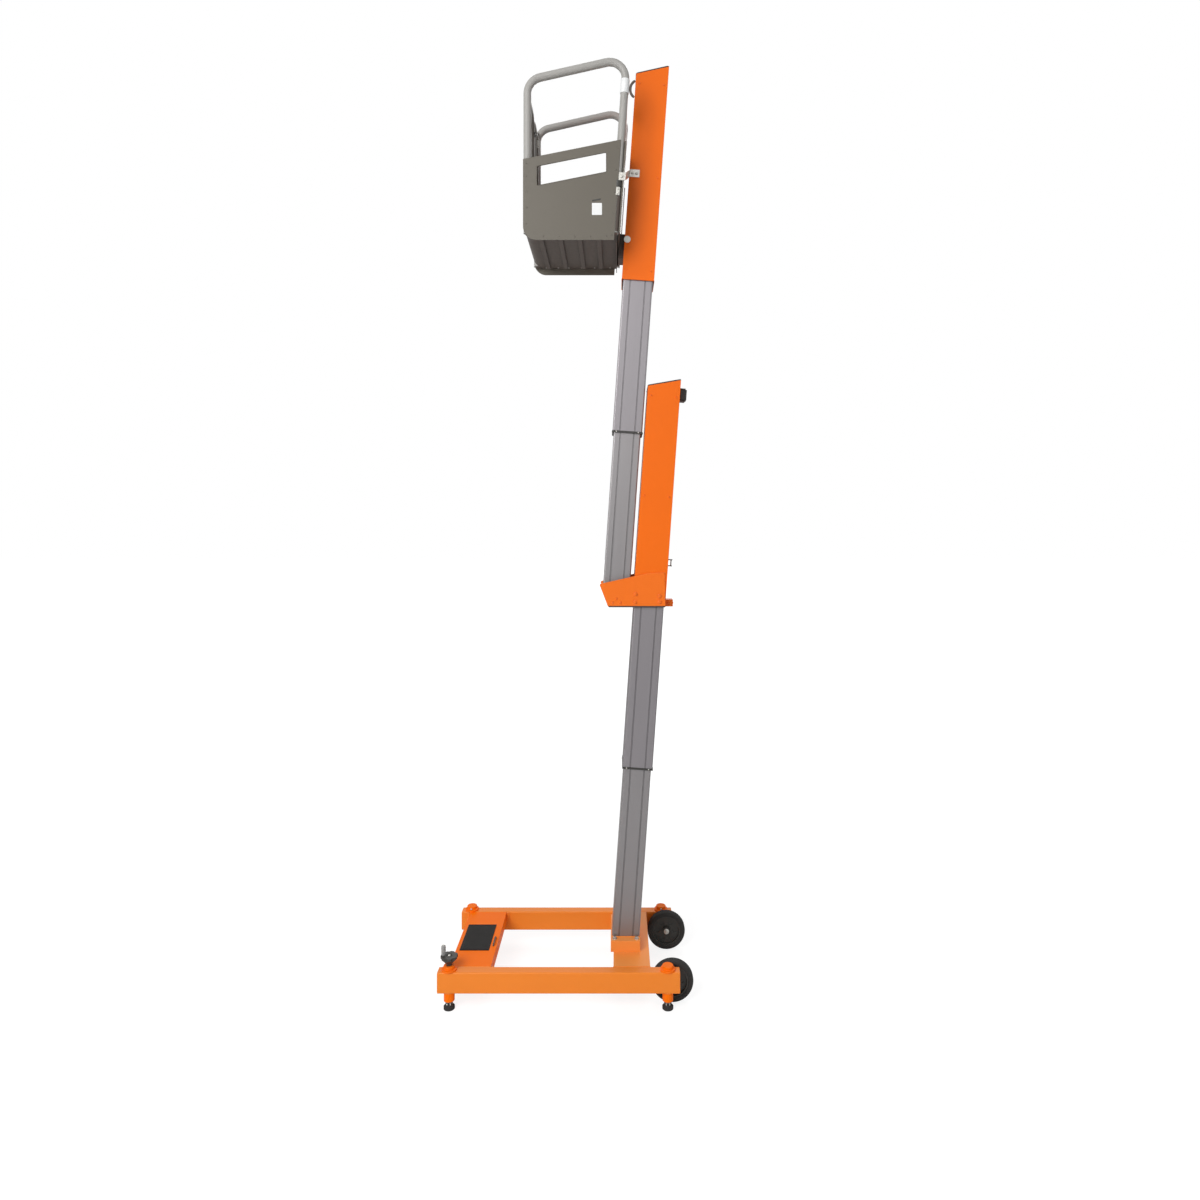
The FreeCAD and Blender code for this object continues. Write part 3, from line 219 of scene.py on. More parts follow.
def powder_coat(name, value, rough=0.34, rub=0.35, sheen=0.25):
    """Steel that is powder coated and baked.

    The skin is even and satin, with an orange-peel ripple that softens every reflection, and it
    is rubbed a little paler along the edges that get touched.
    """
    tree, place = blank_surface(name)
    peel = add(tree, "TexNoise", {"Scale": per_mm(2.5), "Detail": 2.0}, {"Vector": place})
    scuff = add(tree, "TexNoise", {"Scale": per_mm(28), "Detail": 6.0}, {"Vector": place})
    base = mottle(tree, place, value, 420, 0.96, 1.04)
    edge = add(tree, "Bevel", {"samples": 6, "Radius": 0.003})
    face = add(tree, "NewGeometry")
    flat = add(
        tree,
        "VectorMath",
        {"operation": "DOT_PRODUCT"},
        {0: edge.outputs["Normal"], 1: face.outputs["Normal"]},
    )
    worn = add(
        tree,
        "MapRange",
        {"From Min": 0.985, "From Max": 0.86, "To Max": rub},
        {"Value": flat.outputs["Value"]},
    )
    broken = add(
        tree,
        "Math",
        {"operation": "MULTIPLY", "use_clamp": True},
        {0: worn.outputs["Result"], 1: scuff.outputs["Fac"]},
    )
    paler = {"data_type": "RGBA", 7: shade([part * 0.75 + 0.2 for part in value], 1)}
    tone = add(tree, "Mix", paler, {0: broken.outputs["Value"], 6: base})
    coat(
        tree,
        {"IOR": 1.5, "Metallic": 0.0, "Specular IOR Level": sheen},
        tone.outputs[2],
        (scuff.outputs["Fac"], rough - 0.05, rough + 0.09),
        peel.outputs["Fac"],
        (0.0018, 0.12, 0.0004),
    )


def anodised_extrusion(name, value):
    """Aluminium that is extruded and then naturally anodised.

    The die leaves fine lines down the length, and the oxide makes the metal a soft even grey. The
    grooves and hollows are darkened with painted shade from an ambient-occlusion mask. The real
    lines are too fine to show, so they are drawn 1.6 mm wide.
    """
    tree, place = blank_surface(name)
    upright = add(tree, "Mapping", {"Rotation": (0, -RAKE, 0)}, {"Vector": place})
    stretch = {"Scale": (per_mm(1.6), per_mm(1.6), per_mm(900))}
    lengthwise = add(tree, "Mapping", stretch, {"Vector": upright.outputs[0]}).outputs[0]
    lines = add(tree, "TexNoise", {"Scale": 1.0, "Detail": 3.0}, {"Vector": lengthwise})
    base = mottle(tree, lengthwise, value, 1000, 0.93, 1.05)
    # Painted shade: an ambient-occlusion mask darkens the colour in the grooves and hollows
    reach = {"samples": 8, "only_local": True, "Distance": 0.012}
    open_share = add(tree, "AmbientOcclusion", reach)
    groove_painted_shade = add(
        tree,
        "MapRange",
        {"From Min": 0.5, "From Max": 0.92, "To Min": 0.3},
        {"Value": open_share.outputs["AO"]},
    )
    tone = add(
        tree,
        "Mix",
        {"data_type": "RGBA", "blend_type": "MULTIPLY", 0: 1.0},
        {6: base, 7: groove_painted_shade.outputs["Result"]},
    )
    coat(
        tree,
        {"Metallic": 0.75},
        tone.outputs[2],
        (lines.outputs["Fac"], 0.34, 0.52),
        lines.outputs["Fac"],
        (0.0012, 0.16, 0.0003),
    )


def vulcanised_rubber(name, value, grain):
    """Pressed and vulcanised rubber: dull, a little dusty, with a pebbled skin.

    The pebbles are drawn coarser than real ones, which are too fine to show.
    """
    tree, place = blank_surface(name)
    pebble = add(tree, "TexVoronoi", {"Scale": per_mm(grain)}, {"Vector": place})
    dust = add(tree, "TexNoise", {"Scale": per_mm(35), "Detail": 5.0}, {"Vector": place})
    dusty = add(tree, "MapRange", {"To Min": 0, "To Max": 0.7}, {"Value": dust.outputs["Fac"]})
    tones = {"data_type": "RGBA", 6: shade(value, 0.85), 7: shade(value, 1.5)}
    tone = add(tree, "Mix", tones, {0: dusty.outputs["Result"]})
    coat(
        tree,
        {"IOR": 1.52, "Specular IOR Level": 0.25},
        tone.outputs[2],
        (dust.outputs["Fac"], 0.68, 0.92),
        pebble.outputs["Distance"],
        (0.001, 0.25, 0.0004),
    )


def grained(name, value, optics, grain, drift, rough, edge):
    """A surface whose roughness and relief follow one grain.

    The grain is a size in mm and a detail, the drift is a size in mm and two shares of the colour,
    and rough is the two ends of the roughness.
    """
    tree, place = blank_surface(name)
    size, detail = grain
    fine = add(tree, "TexNoise", {"Scale": per_mm(size), "Detail": detail}, {"Vector": place})
    relief = fine.outputs["Fac"]
    coat(tree, optics, mottle(tree, place, value, *drift), (relief, *rough), relief, edge)


def moulded(name, value, rough):
    """Injection-moulded nylon: a matt spark-eroded grain and edges with a small radius.

    The grain is drawn 0.9 mm wide, because the real one is too fine to show.
    """
    ends = (rough - 0.06, rough + 0.1)
    edge = (0.0015, 0.3, 0.0003)
    grained(name, value, {"IOR": 1.53}, (0.9, 2.0), (60, 0.9, 1.12), ends, edge)


def zinc_plate(name, value):
    """Bright zinc over turned or pressed steel: cool, half glossy, with a slight bloom."""
    ends = (0.26, 0.44)
    edge = (0.0006, 0.08, 0.0002)
    grained(name, value, {"Metallic": 0.9}, (9, 4.0), (14, 0.86, 1.06), ends, edge)


def printed_vinyl(name, value):
    """A cast vinyl label, left blank: smooth and half glossy, with the film's faint stretch."""
    ends = (0.25, 0.38)
    edge = (0.0004, 0.05, 0.0002)
    grained(name, value, {"IOR": 1.54}, (12, 1.0), (30, 0.97, 1.02), ends, edge)


# Places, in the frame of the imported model


def on_mast(across, side, along):
    """A point from its places across, beside and along the leaning mast."""
    return MAST_FOOT + ACROSS * across + SIDEWAYS * side + ALONG * along


def on_leg(level, sign):
    """The middle of a rear leg of the basket at a level."""
    return Vector((LEG_ZERO + level * tan(RAKE), LEG_SIDE * sign, level))


def mast_box(node):
    """The node's lowest and highest places (across, side, along) in the mast's own frame."""
    spots = []
    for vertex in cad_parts[node].data.vertices:
        reach = vertex.co - MAST_FOOT
        spots.append((reach.dot(ACROSS), reach.y, reach.dot(ALONG)))
    return [min(column) for column in zip(*spots)], [max(column) for column in zip(*spots)]


def square_to(way):
    """Two directions that are square to a direction and to each other."""
    other = SIDEWAYS if abs(way.dot(SIDEWAYS)) < 0.9 else UP
    first = way.cross(other).normalized()
    return first, way.cross(first).normalized()


def rectangle(low, high):
    """The corners of a flat rectangle, in order, from its lowest and its highest pair."""
    return (low[0], low[1]), (high[0], low[1]), (high[0], high[1]), (low[0], high[1])


def rounded_loop(corners, radius, steps=5):
    """The closed flat path through the corners, with each of them rounded."""
    path = []
    for index, corner in enumerate(corners):
        before = (corners[index - 1] - corner).normalized()
        after = (corners[(index + 1) % len(corners)] - corner).normalized()
        half = before.angle(after) / 2
        centre = corner + (before + after).normalized() * (radius / sin(half))
        start = corner + before * (radius / tan(half)) - centre
        end = corner + after * (radius / tan(half)) - centre
        for step in range(steps + 1):
            spoke = start.slerp(end, step / steps)
            path.append(centre + spoke * (start.length / spoke.length))
    return path


def even(path, spacing):
    """The closed path again, with a point at every spacing along it."""
    spots = []
    for start, end in zip(path, path[1:] + path[:1]):
        count = max(1, round((end - start).length / spacing))
        spots += [start.lerp(end, index / count) for index in range(count)]
    return spots


def circle(centre, first, second, radius, count):
    """Points round a circle that lies in two directions."""
    return [
        centre + first * (radius * cos(angle)) + second * (radius * sin(angle))
        for angle in (tau * index / count for index in range(count))
    ]


# Meshes


def skin(mesh, rings, closed=False):
    """Faces from each ring of points to the next, closed round or capped at both ends."""
    rings = [[mesh.verts.new(point) for point in points] for points in rings]
    for low, high in zip(rings, rings[1:] + rings[:1] if closed else rings[1:]):
        for index in range(len(low)):
            after = (index + 1) % len(low)
            mesh.faces.new((low[index], low[after], high[after], high[index]))
    if not closed:
        mesh.faces.new(rings[0][::-1])
        mesh.faces.new(rings[-1])


def turn(mesh, at, way, profile, count=24, closed=False):
    """A solid of revolution from (radius, height) pairs, capped, or closed on itself as a tube."""
    way = way.normalized()
    first, second = square_to(way)
    rings = [circle(at + way * height, first, second, radius, count) for radius, height in profile]
    skin(mesh, rings, closed)


def sweep(mesh, points, radii, count=10):
    """A round bar through the points, with one radius or its own radius at each of them."""
    if isinstance(radii, float):
        radii = [radii] * len(points)
    rings = []
    first = None
    for index, point in enumerate(points):
        before = points[max(index - 1, 0)]
        after = points[min(index + 1, len(points) - 1)]
        way = (after - before).normalized()
        if first is None:
            first, second = square_to(way)
        else:
            first = (first - way * first.dot(way)).normalized()
            second = way.cross(first).normalized()
        rings.append(circle(point, first, second, radii[index], count))
    skin(mesh, rings)


def hoop(mesh, path, normal, radius, ripple=0.0, count=8):
    """A round bar or a weld bead bent along a closed flat path."""
    rings = []
    for index, point in enumerate(path):
        way = (path[(index + 1) % len(path)] - path[index - 1]).normalized()
        thick = radius * (1 - ripple * (index % 2))
        rings.append(circle(point, normal, way.cross(normal), thick, count))
    skin(mesh, rings, closed=True)


def prism(mesh, outline, depth):
    """A flat closed outline pushed along a vector."""
    skin(mesh, [outline, [point + depth for point in outline]])


def brick(mesh, centre, axes, sizes):
    """A block about its centre, with its three sizes along three axes."""
    half = [axis * (size / 2) for axis, size in zip(axes, sizes)]
    corners = [
        centre + half[0] * first + half[1] * second - half[2]
        for first, second in rectangle((-1, -1), (1, 1))
    ]
    prism(mesh, corners, half[2] * 2)


def hex_bolt(mesh, at, way, size):
    """A washer and a hexagon head on a face, sized from the shank's diameter."""
    washer = size * 0.18
    head = size * 0.64
    across = size * 1.7 / 2
    turn(mesh, at, way, [(size, 0), (size * 1.02, washer * 0.2), (size, washer)])
    levels = [(across, washer), (across, washer + head * 0.85), (across * 0.88, washer + head)]
    turn(mesh, at, way, levels, 6)


def lock_nut(mesh, at, across, thick):
    """A hexagon nut on an upright thread, chamfered on both faces."""
    levels = ((0.92, 0), (1, 0.15), (1, 0.85), (0.92, 1))
    turn(mesh, at, UP, [(across * share, thick * rise) for share, rise in levels], 6)


def button_screw(mesh, at, way, size):
    """A domed socket head, with the socket sunk in its top."""
    head = size * 0.95
    dome = ((1, 0), (1, 0.12), (0.86, 0.38), (0.62, 0.54), (0.36, 0.56), (0.33, 0.30))
    turn(mesh, at, way, [(head * share, size * rise) for share, rise in dome], 20)


def rivet(mesh, at, way, radius):
    """The domed head of a blind rivet, with the dimple of its broken pin."""
    height = radius * 0.45
    dome = ((1, 0), (1, 0.25), (0.8, 0.75), (0.45, 1), (0.3, 0.7))
    turn(mesh, at, way, [(radius * share, height * rise) for share, rise in dome], 14)


def weld_bead(mesh, low, high, share=1.0):
    """A bead along a straight run, rippled as the pool froze."""
    _, sizes = settings()
    count = max(2, int((high - low).length / sizes.ripple))
    spots = [low.lerp(high, index / count) for index in range(count + 1)]
    radii = [sizes.weld * share * (1.0 if index % 2 else 0.84) for index in range(count + 1)]
    sweep(mesh, spots, radii, 8)


def place_in_scene(name, data):
    item = bpy.data.objects.new(name, data)
    bpy.context.scene.collection.objects.link(item)
    return item


def finished_mesh(name, mesh, surface):
    """A mesh that owns its material, from one under construction."""
    data = bpy.data.meshes.new(name)
    mesh.to_mesh(data)
    mesh.free()
    data.materials.append(bpy.data.materials[surface])
    return data


def piece(name, mesh, body, surface):
    """Turn a finished mesh into a named piece that rides on a body."""
    bmesh.ops.recalc_face_normals(mesh, faces=mesh.faces)
    data = finished_mesh(name, mesh, surface)
    data.shade_smooth()
    data.set_sharp_from_angle(angle=radians(34))
    item = place_in_scene(name, data)
    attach(item, body)
    return item


# Operators


class MASTLIFT_OT_finishes(bpy.types.Operator):
    """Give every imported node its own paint, metal, plastic or rubber"""

    bl_idname = "mastlift.finishes"
    bl_label = "Finishes"

    # Every node belongs to one surface
    nodes_of = {
        "cover_powder_coat": "*_cover",
        "carriage_powder_coat": "carriage_*",
        "frame_powder_coat": "rail_* deck_gussets",
        "beam_powder_coat": "rear_beam mast_shoe",
        "deck_powder_coat": "front_deck foot_sockets",
        "anodised_column": "*_column",
        "anodised_sleeve": "*_sleeve",
        "basket_powder_coat": "basket_side_* basket_back gate_left gate_right",
        "tube_powder_coat": "basket_rail_* basket_back_bar gate_lugs",
        "tray_powder_coat": "basket_floor basket_hanger basket_hook column_clamps cover_brackets"
        " deck_catch",
        "black_nylon": "jack_handwheel *_cover_cap *_collar *_pads winding_box wheel_*_rim",
        "grey_nylon": "jack_grip",
        "grit_tread": "tread_pad",
        "tyre_rubber": "wheel_*_tyre feet",
        "bright_zinc": "basket_straps hanger_bolts column_saddle axle_* winding_crank",
    }

    def execute(self, context):
        tones, _ = settings()
        powder_coat("cover_powder_coat", tones.cover)
        powder_coat("carriage_powder_coat", tones.carriage)
        powder_coat("frame_powder_coat", tones.rail, rub=0.5)
        powder_coat("beam_powder_coat", tones.beam, rub=0.5)
        powder_coat("deck_powder_coat", tones.deck, rub=0.5, sheen=0.08)
        anodised_extrusion("anodised_column", tones.column)
        anodised_extrusion("anodised_sleeve", tones.sleeve)
        powder_coat("basket_powder_coat", tones.panel, 0.38)
        powder_coat("tube_powder_coat", tones.tube, 0.36)
        powder_coat("tray_powder_coat", tones.under, 0.5)
        moulded("black_nylon", tones.black, 0.5)
        moulded("grey_nylon", tones.grip, 0.48)
        moulded("white_nylon", tones.label, 0.45)
        vulcanised_rubber("tyre_rubber", tones.rubber, 2.2)
        vulcanised_rubber("grit_tread", tones.tread, 1.4)
        zinc_plate("bright_zinc", tones.zinc)
        printed_vinyl("blank_vinyl", tones.label)
        for node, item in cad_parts.items():
            names = [
                name
                for name, patterns in self.nodes_of.items()
                if any(fnmatchcase(node, pattern) for pattern in patterns.split())
            ]
            if len(names) != 1:
                raise RuntimeError("%s has %d surfaces" % (node, len(names)))
            surface = bpy.data.materials[names[0]]
            if not item.material_slots:
                item.data.materials.append(surface)
            for slot in item.material_slots:
                slot.material = surface
        return {"FINISHED"}


class MASTLIFT_OT_frame(bpy.types.Operator):
    """Add the welds, bolts and lock nuts of the base frame"""

    bl_idname = "mastlift.frame"
    bl_label = "Base frame"

    shoe_half = 0.145
    shoe_run = (0.2221, 0.3771)
    bolt_lines = (0.243, 0.358)
    bolt_side = 0.122
    column_side = 0.1
    socket_radius = 0.0275

    def execute(self, context):
        _, sizes = settings()
        welds = bmesh.new()
        for _, sign in SIDES:
            self.rail_welds(welds, sign, sizes)
        shoe_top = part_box("mast_shoe")[1].z
        line = MAST_FOOT.x + (shoe_top - RAIL_TOP) * tan(RAKE)
        half = 0.0725 / cos(RAKE)
        corners = [
            Vector((line + across, side, shoe_top))
            for across, side in rectangle((-half, -self.column_side), (half, self.column_side))
        ]
        hoop(welds, even(rounded_loop(corners, 0.008, 3), sizes.ripple), UP, sizes.weld, 0.16)
        for side in (-self.shoe_half, self.shoe_half):
            start, end = (Vector((x, side, RAIL_TOP)) for x in self.shoe_run)
            weld_bead(welds, start, end)
        piece("frame_welds", welds, "base", "frame_powder_coat")

        bolts = bmesh.new()
        for x in self.bolt_lines:
            for side in (-self.bolt_side, self.bolt_side):
                hex_bolt(bolts, Vector((x, side, shoe_top)), UP, sizes.bolt * 1.2)
        for _, sign in SIDES:
            for x in FOOT_LINES:
                at = Vector((x, FOOT_SIDE * sign, 0.0))
                for level, thick in ((0.0215, 0.010), (0.0325, 0.0045)):
                    lock_nut(bolts, at + UP * level, 0.0195, thick)
                grub = at + Vector((0, -0.028 * sign, 0.209))
                button_screw(bolts, grub, Vector((0, -sign, 0)), 0.006)
        piece("frame_fasteners", bolts, "base", "bright_zinc")
        return {"FINISHED"}

    def rail_welds(self, welds, sign, sizes):
        """The beads where the deck, the beam, the end plates and the sockets meet one rail."""
        low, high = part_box("rail_left")
        side = abs(high.y) * sign
        middle = (low.y + high.y) / 2
        for node in ("front_deck", "rear_beam"):
            start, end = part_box(node)
            top = end.z - 0.0015
            weld_bead(welds, Vector((start.x, side, top)), Vector((end.x, side, top)))
            for x in (start.x, end.x):
                weld_bead(welds, Vector((x, side, start.z)), Vector((x, side, top)))
        for x in (low.x, high.x):
            corners = [
                Vector((x, middle * -sign + across, height))
                for across, height in rectangle((-0.026, low.z + 0.004), (0.026, high.z - 0.004))
            ]
            path = even(rounded_loop(corners, 0.006, 3), sizes.ripple)
            hoop(welds, path, REAR, sizes.weld * 0.7, 0.15)
        for x in FOOT_LINES:
            at = Vector((x, middle * -sign, low.z))
            path = circle(at, *square_to(UP), self.socket_radius, 44)
            hoop(welds, path, UP, sizes.weld, 0.16)


class MASTLIFT_OT_tread(bpy.types.Operator):
    """Add the ribs and the border of the step's rubber tread"""

    bl_idname = "mastlift.tread"
    bl_label = "Step tread"

    ribs = 22
    margin = 0.008
    border = 0.004
    rib_section = ((-0.0018, -0.0003), (0.0018, -0.0003), (0.001, 0.0011), (-0.001, 0.0011))

    def execute(self, context):
        low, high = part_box("tread_pad")
        mesh = bmesh.new()
        first = low.x + self.margin + 0.006
        pitch = (high.x - low.x - 2 * (self.margin + 0.006)) / (self.ribs - 1)
        for index in range(self.ribs):
            outline = [
                Vector((first + pitch * index + across, low.y + self.margin, high.z + rise))
                for across, rise in self.rib_section
            ]
            prism(mesh, outline, SIDEWAYS * (high.y - low.y - 2 * self.margin))
        inner = rectangle(
            (low.x + self.border, low.y + self.border), (high.x - self.border, high.y - self.border)
        )
        corners = [Vector((x, y, high.z)) for x, y in inner]
        hoop(mesh, rounded_loop(corners, 0.006), UP, 0.0016)
        piece("tread_ribs", mesh, "base", "grit_tread")
        return {"FINISHED"}


class MASTLIFT_OT_wheels(bpy.types.Operator):
    """Give each wheel a grooved tyre, and its axle a nut, a washer and a split pin"""

    bl_idname = "mastlift.wheels"
    bl_label = "Wheels"

    # Depth below the tread and distance in from the side, from the bead to the shoulder
    wall = (
        (0.0260, 0.0030), (0.0235, 0.0008), (0.0180, 0), (0.0155, 0), (0.0148, -0.0007),
        (0.0132, -0.0007), (0.0125, 0), (0.0085, 0.0003), (0.0050, 0.0018), (0.0022, 0.0048),
        (0.0006, 0.0090),
    )
    # Depth below the tread and place along it, across one groove
    groove = ((0, -0.0015), (0.0024, -0.0009), (0.0024, 0.0009), (0, 0.0015))
    groove_pitch = 0.0085

    def execute(self, context):
        for name, sign in SIDES:
            low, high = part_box("wheel_%s_tyre" % name)
            centre = (low + high) / 2
            self.tyre(name, centre, (high.z - low.z) / 2, (high.y - low.y) / 2)
            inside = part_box("axle_" + name)[1 if sign < 0 else 0].y
            self.axle_nut(name, Vector((centre.x, inside, centre.z)), Vector((0, -sign, 0)))
        return {"FINISHED"}

    def tyre(self, name, centre, radius, half):
        """The solid tyre, from its bead over a raised line and the shoulder to the grooves."""
        wall = [(radius - deep, inset - half) for deep, inset in self.wall]
        crown = [
            (radius - deep, middle + along)
            for middle in (-self.groove_pitch, 0.0, self.groove_pitch)
            for deep, along in self.groove
        ]
        profile = wall + crown + [(spot, -height) for spot, height in reversed(wall)]
        mesh = bmesh.new()
        turn(mesh, centre, SIDEWAYS, profile, 96, closed=True)
        tyre = piece("tyre_" + name, mesh, name + "_wheel", "tyre_rubber")
        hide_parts("wheel_%s_tyre" % name)

    def axle_nut(self, name, at, way):
        """The washer, the nut, the thread's end and the two legs of the split pin."""
        mesh = bmesh.new()
        turn(mesh, at, way, [(0.0135, 0), (0.0135, 0.001), (0.0125, 0.0016)], 28)
        turn(mesh, at, way, [(0.0105, 0.0014), (0.0105, 0.0072), (0.0094, 0.0082)], 6)
        turn(mesh, at, way, [(0.0052, 0.0080), (0.0052, 0.0110), (0.0044, 0.0118)], 18)
        for tilt in (-1, 1):
            leg = ((0.0098, 0.0045), (0.0098, 0.0075), (0.0085 + 0.001 * tilt, 0.0105))
            points = [at + way * out + UP * rise * tilt for out, rise in leg]
            sweep(mesh, points, [0.0009, 0.0009, 0.0007], 6)
        piece("axle_nut_" + name, mesh, "base", "bright_zinc")


class MASTLIFT_OT_jack(bpy.types.Operator):
    """Add the handwheel's hub nut, the rim of its dish and the rings of its grip"""

    bl_idname = "mastlift.jack"
    bl_label = "Levelling jack"

    ring_shares = (0.16, 0.3, 0.44, 0.58, 0.72)

    def execute(self, context):
        low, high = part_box("jack_grip")
        centre = (low + high) / 2
        radius = (high.x - low.x) / 2
        rings = bmesh.new()
        for share in self.ring_shares:
            at = Vector((centre.x, centre.y, low.z + (high.z - low.z) * share))
            waist = radius - 0.0006 * (share < 0.7)
            hoop(rings, circle(at, *square_to(UP), waist, 28), UP, 0.0011)
        piece("jack_grip_rings", rings, "base", "grey_nylon")
        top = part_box("jack_handwheel")[1].z
        hub = bmesh.new()
        hex_bolt(hub, Vector((FOOT_LINES[0], centre.y, top - 0.006)), UP, 0.009)
        button_screw(hub, Vector((centre.x, centre.y, high.z)), UP, 0.005)
        piece("jack_nut", hub, "base", "bright_zinc")
        rim = bmesh.new()
        at = Vector((FOOT_LINES[0], centre.y, top - 0.0005))
        hoop(rim, circle(at, *square_to(UP), 0.0165, 32), UP, 0.0013)
        piece("jack_dish_rim", rim, "base", "black_nylon")
        return {"FINISHED"}


class MASTLIFT_OT_mast(bpy.types.Operator):
    """Add the screws, rivets, seams and cap rims of the mast's sections"""

    bl_idname = "mastlift.mast"
    bl_label = "Mast trim"

    # Stage, the body of its sleeve, the body of its cover, and how far the cover's top slants up
    stages = (("lower", "lower_mast", "carriage", 0.041), ("upper", "upper_mast", "basket", 0.050))
    seam_sides = (0.006, 0.054)
    seam_thickness = 0.0012
    rivets_in_seam = 7
    hem_radius = 0.0018
    cap_inset = 0.002

    def execute(self, context):
        _, sizes = settings()
        for stage, slide, holder, rise in self.stages:
            self.collar_screws(stage, slide, sizes)
            low, high = mast_box(stage + "_cover")
            front_top = high[2] - rise
            self.cover_screws(stage, holder, low, high, front_top, sizes)
            self.cover_seam(stage, holder, low, high, front_top + rise * 0.9)
            self.cap_rim(stage, holder, low, high, front_top, rise)
        return {"FINISHED"}

    def collar_screws(self, stage, slide, sizes):
        low, high = mast_box(stage + "_sleeve_collar")
        mesh = bmesh.new()
        along = (low[2] + high[2]) / 2
        middle = (low[0] + high[0]) / 2
        for share in (-0.36, 0.36):
            across = middle + (high[0] - low[0]) * share
            for sign in (-1, 1):
                at = on_mast(across, high[1] * sign, along)
                button_screw(mesh, at, SIDEWAYS * sign, sizes.screw * 0.7)
                face = high[0] if sign > 0 else low[0]
                at = on_mast(face, high[1] * share * 1.8, along)
                button_screw(mesh, at, ACROSS * sign, sizes.screw * 0.7)
        piece(stage + "_collar_screws", mesh, slide, "bright_zinc")

    def cover_screws(self, stage, holder, low, high, front_top, sizes):
        """The screws along the cover's sides and the rivets of its rear seam."""
        mesh = bmesh.new()
        levels = [low[2] + 0.05, (low[2] + front_top) / 2, front_top - 0.05]
        if stage == "lower":
            del levels[0]  # the carriage's plates lie over these
        for sign in (-1, 1):
            for along in levels:
                for across in (low[0] + 0.02, high[0] - 0.02):
                    at = on_mast(across, high[1] * sign, along)
                    button_screw(mesh, at, SIDEWAYS * sign, sizes.screw)
        for index in range(self.rivets_in_seam):
            share = index / (self.rivets_in_seam - 1)
            along = low[2] + 0.06 + (front_top - low[2] - 0.12) * share
            for side in (0.018, 0.042):
                rivet(mesh, on_mast(high[0] + self.seam_thickness, side, along), ACROSS, 0.0038)
        piece(stage + "_cover_screws", mesh, holder, "cover_powder_coat")

    def cover_seam(self, stage, holder, low, high, top):
        """The lapped strip down the rear face and the hem round the open foot."""
        mesh = bmesh.new()
        near, far = self.seam_sides
        strip = [
            on_mast(high[0], side, along)
            for side, along in rectangle((near, low[2] + 0.004), (far, top))
        ]
        prism(mesh, strip, ACROSS * self.seam_thickness)
        foot = [
            on_mast(across, side, low[2]) for across, side in rectangle((low[0], -high[1]), high)
        ]
        for start, end in ((0, 1), (3, 2), (0, 3), (1, 2)):
            sweep(mesh, [foot[start], foot[end]], self.hem_radius, 8)
        piece(stage + "_cover_seam", mesh, holder, "cover_powder_coat")

    def cap_rim(self, stage, holder, low, high, front_top, rise):
        """The black lip of the slanting cap."""
        mesh = bmesh.new()
        slope = (ACROSS * (high[0] - low[0]) + ALONG * rise).normalized()
        upward = slope.cross(SIDEWAYS)
        front, rear = low[0] + self.cap_inset, high[0] - self.cap_inset
        side = high[1] - self.cap_inset
        corners = [
            on_mast(across, y, front_top + (rise if across == rear else 0)) + upward * 0.0030
            for across, y in rectangle((front, -side), (rear, side))
        ]
        hoop(mesh, rounded_loop(corners, 0.008), upward, 0.0034)
        piece(stage + "_cap_rim", mesh, holder, "black_nylon")


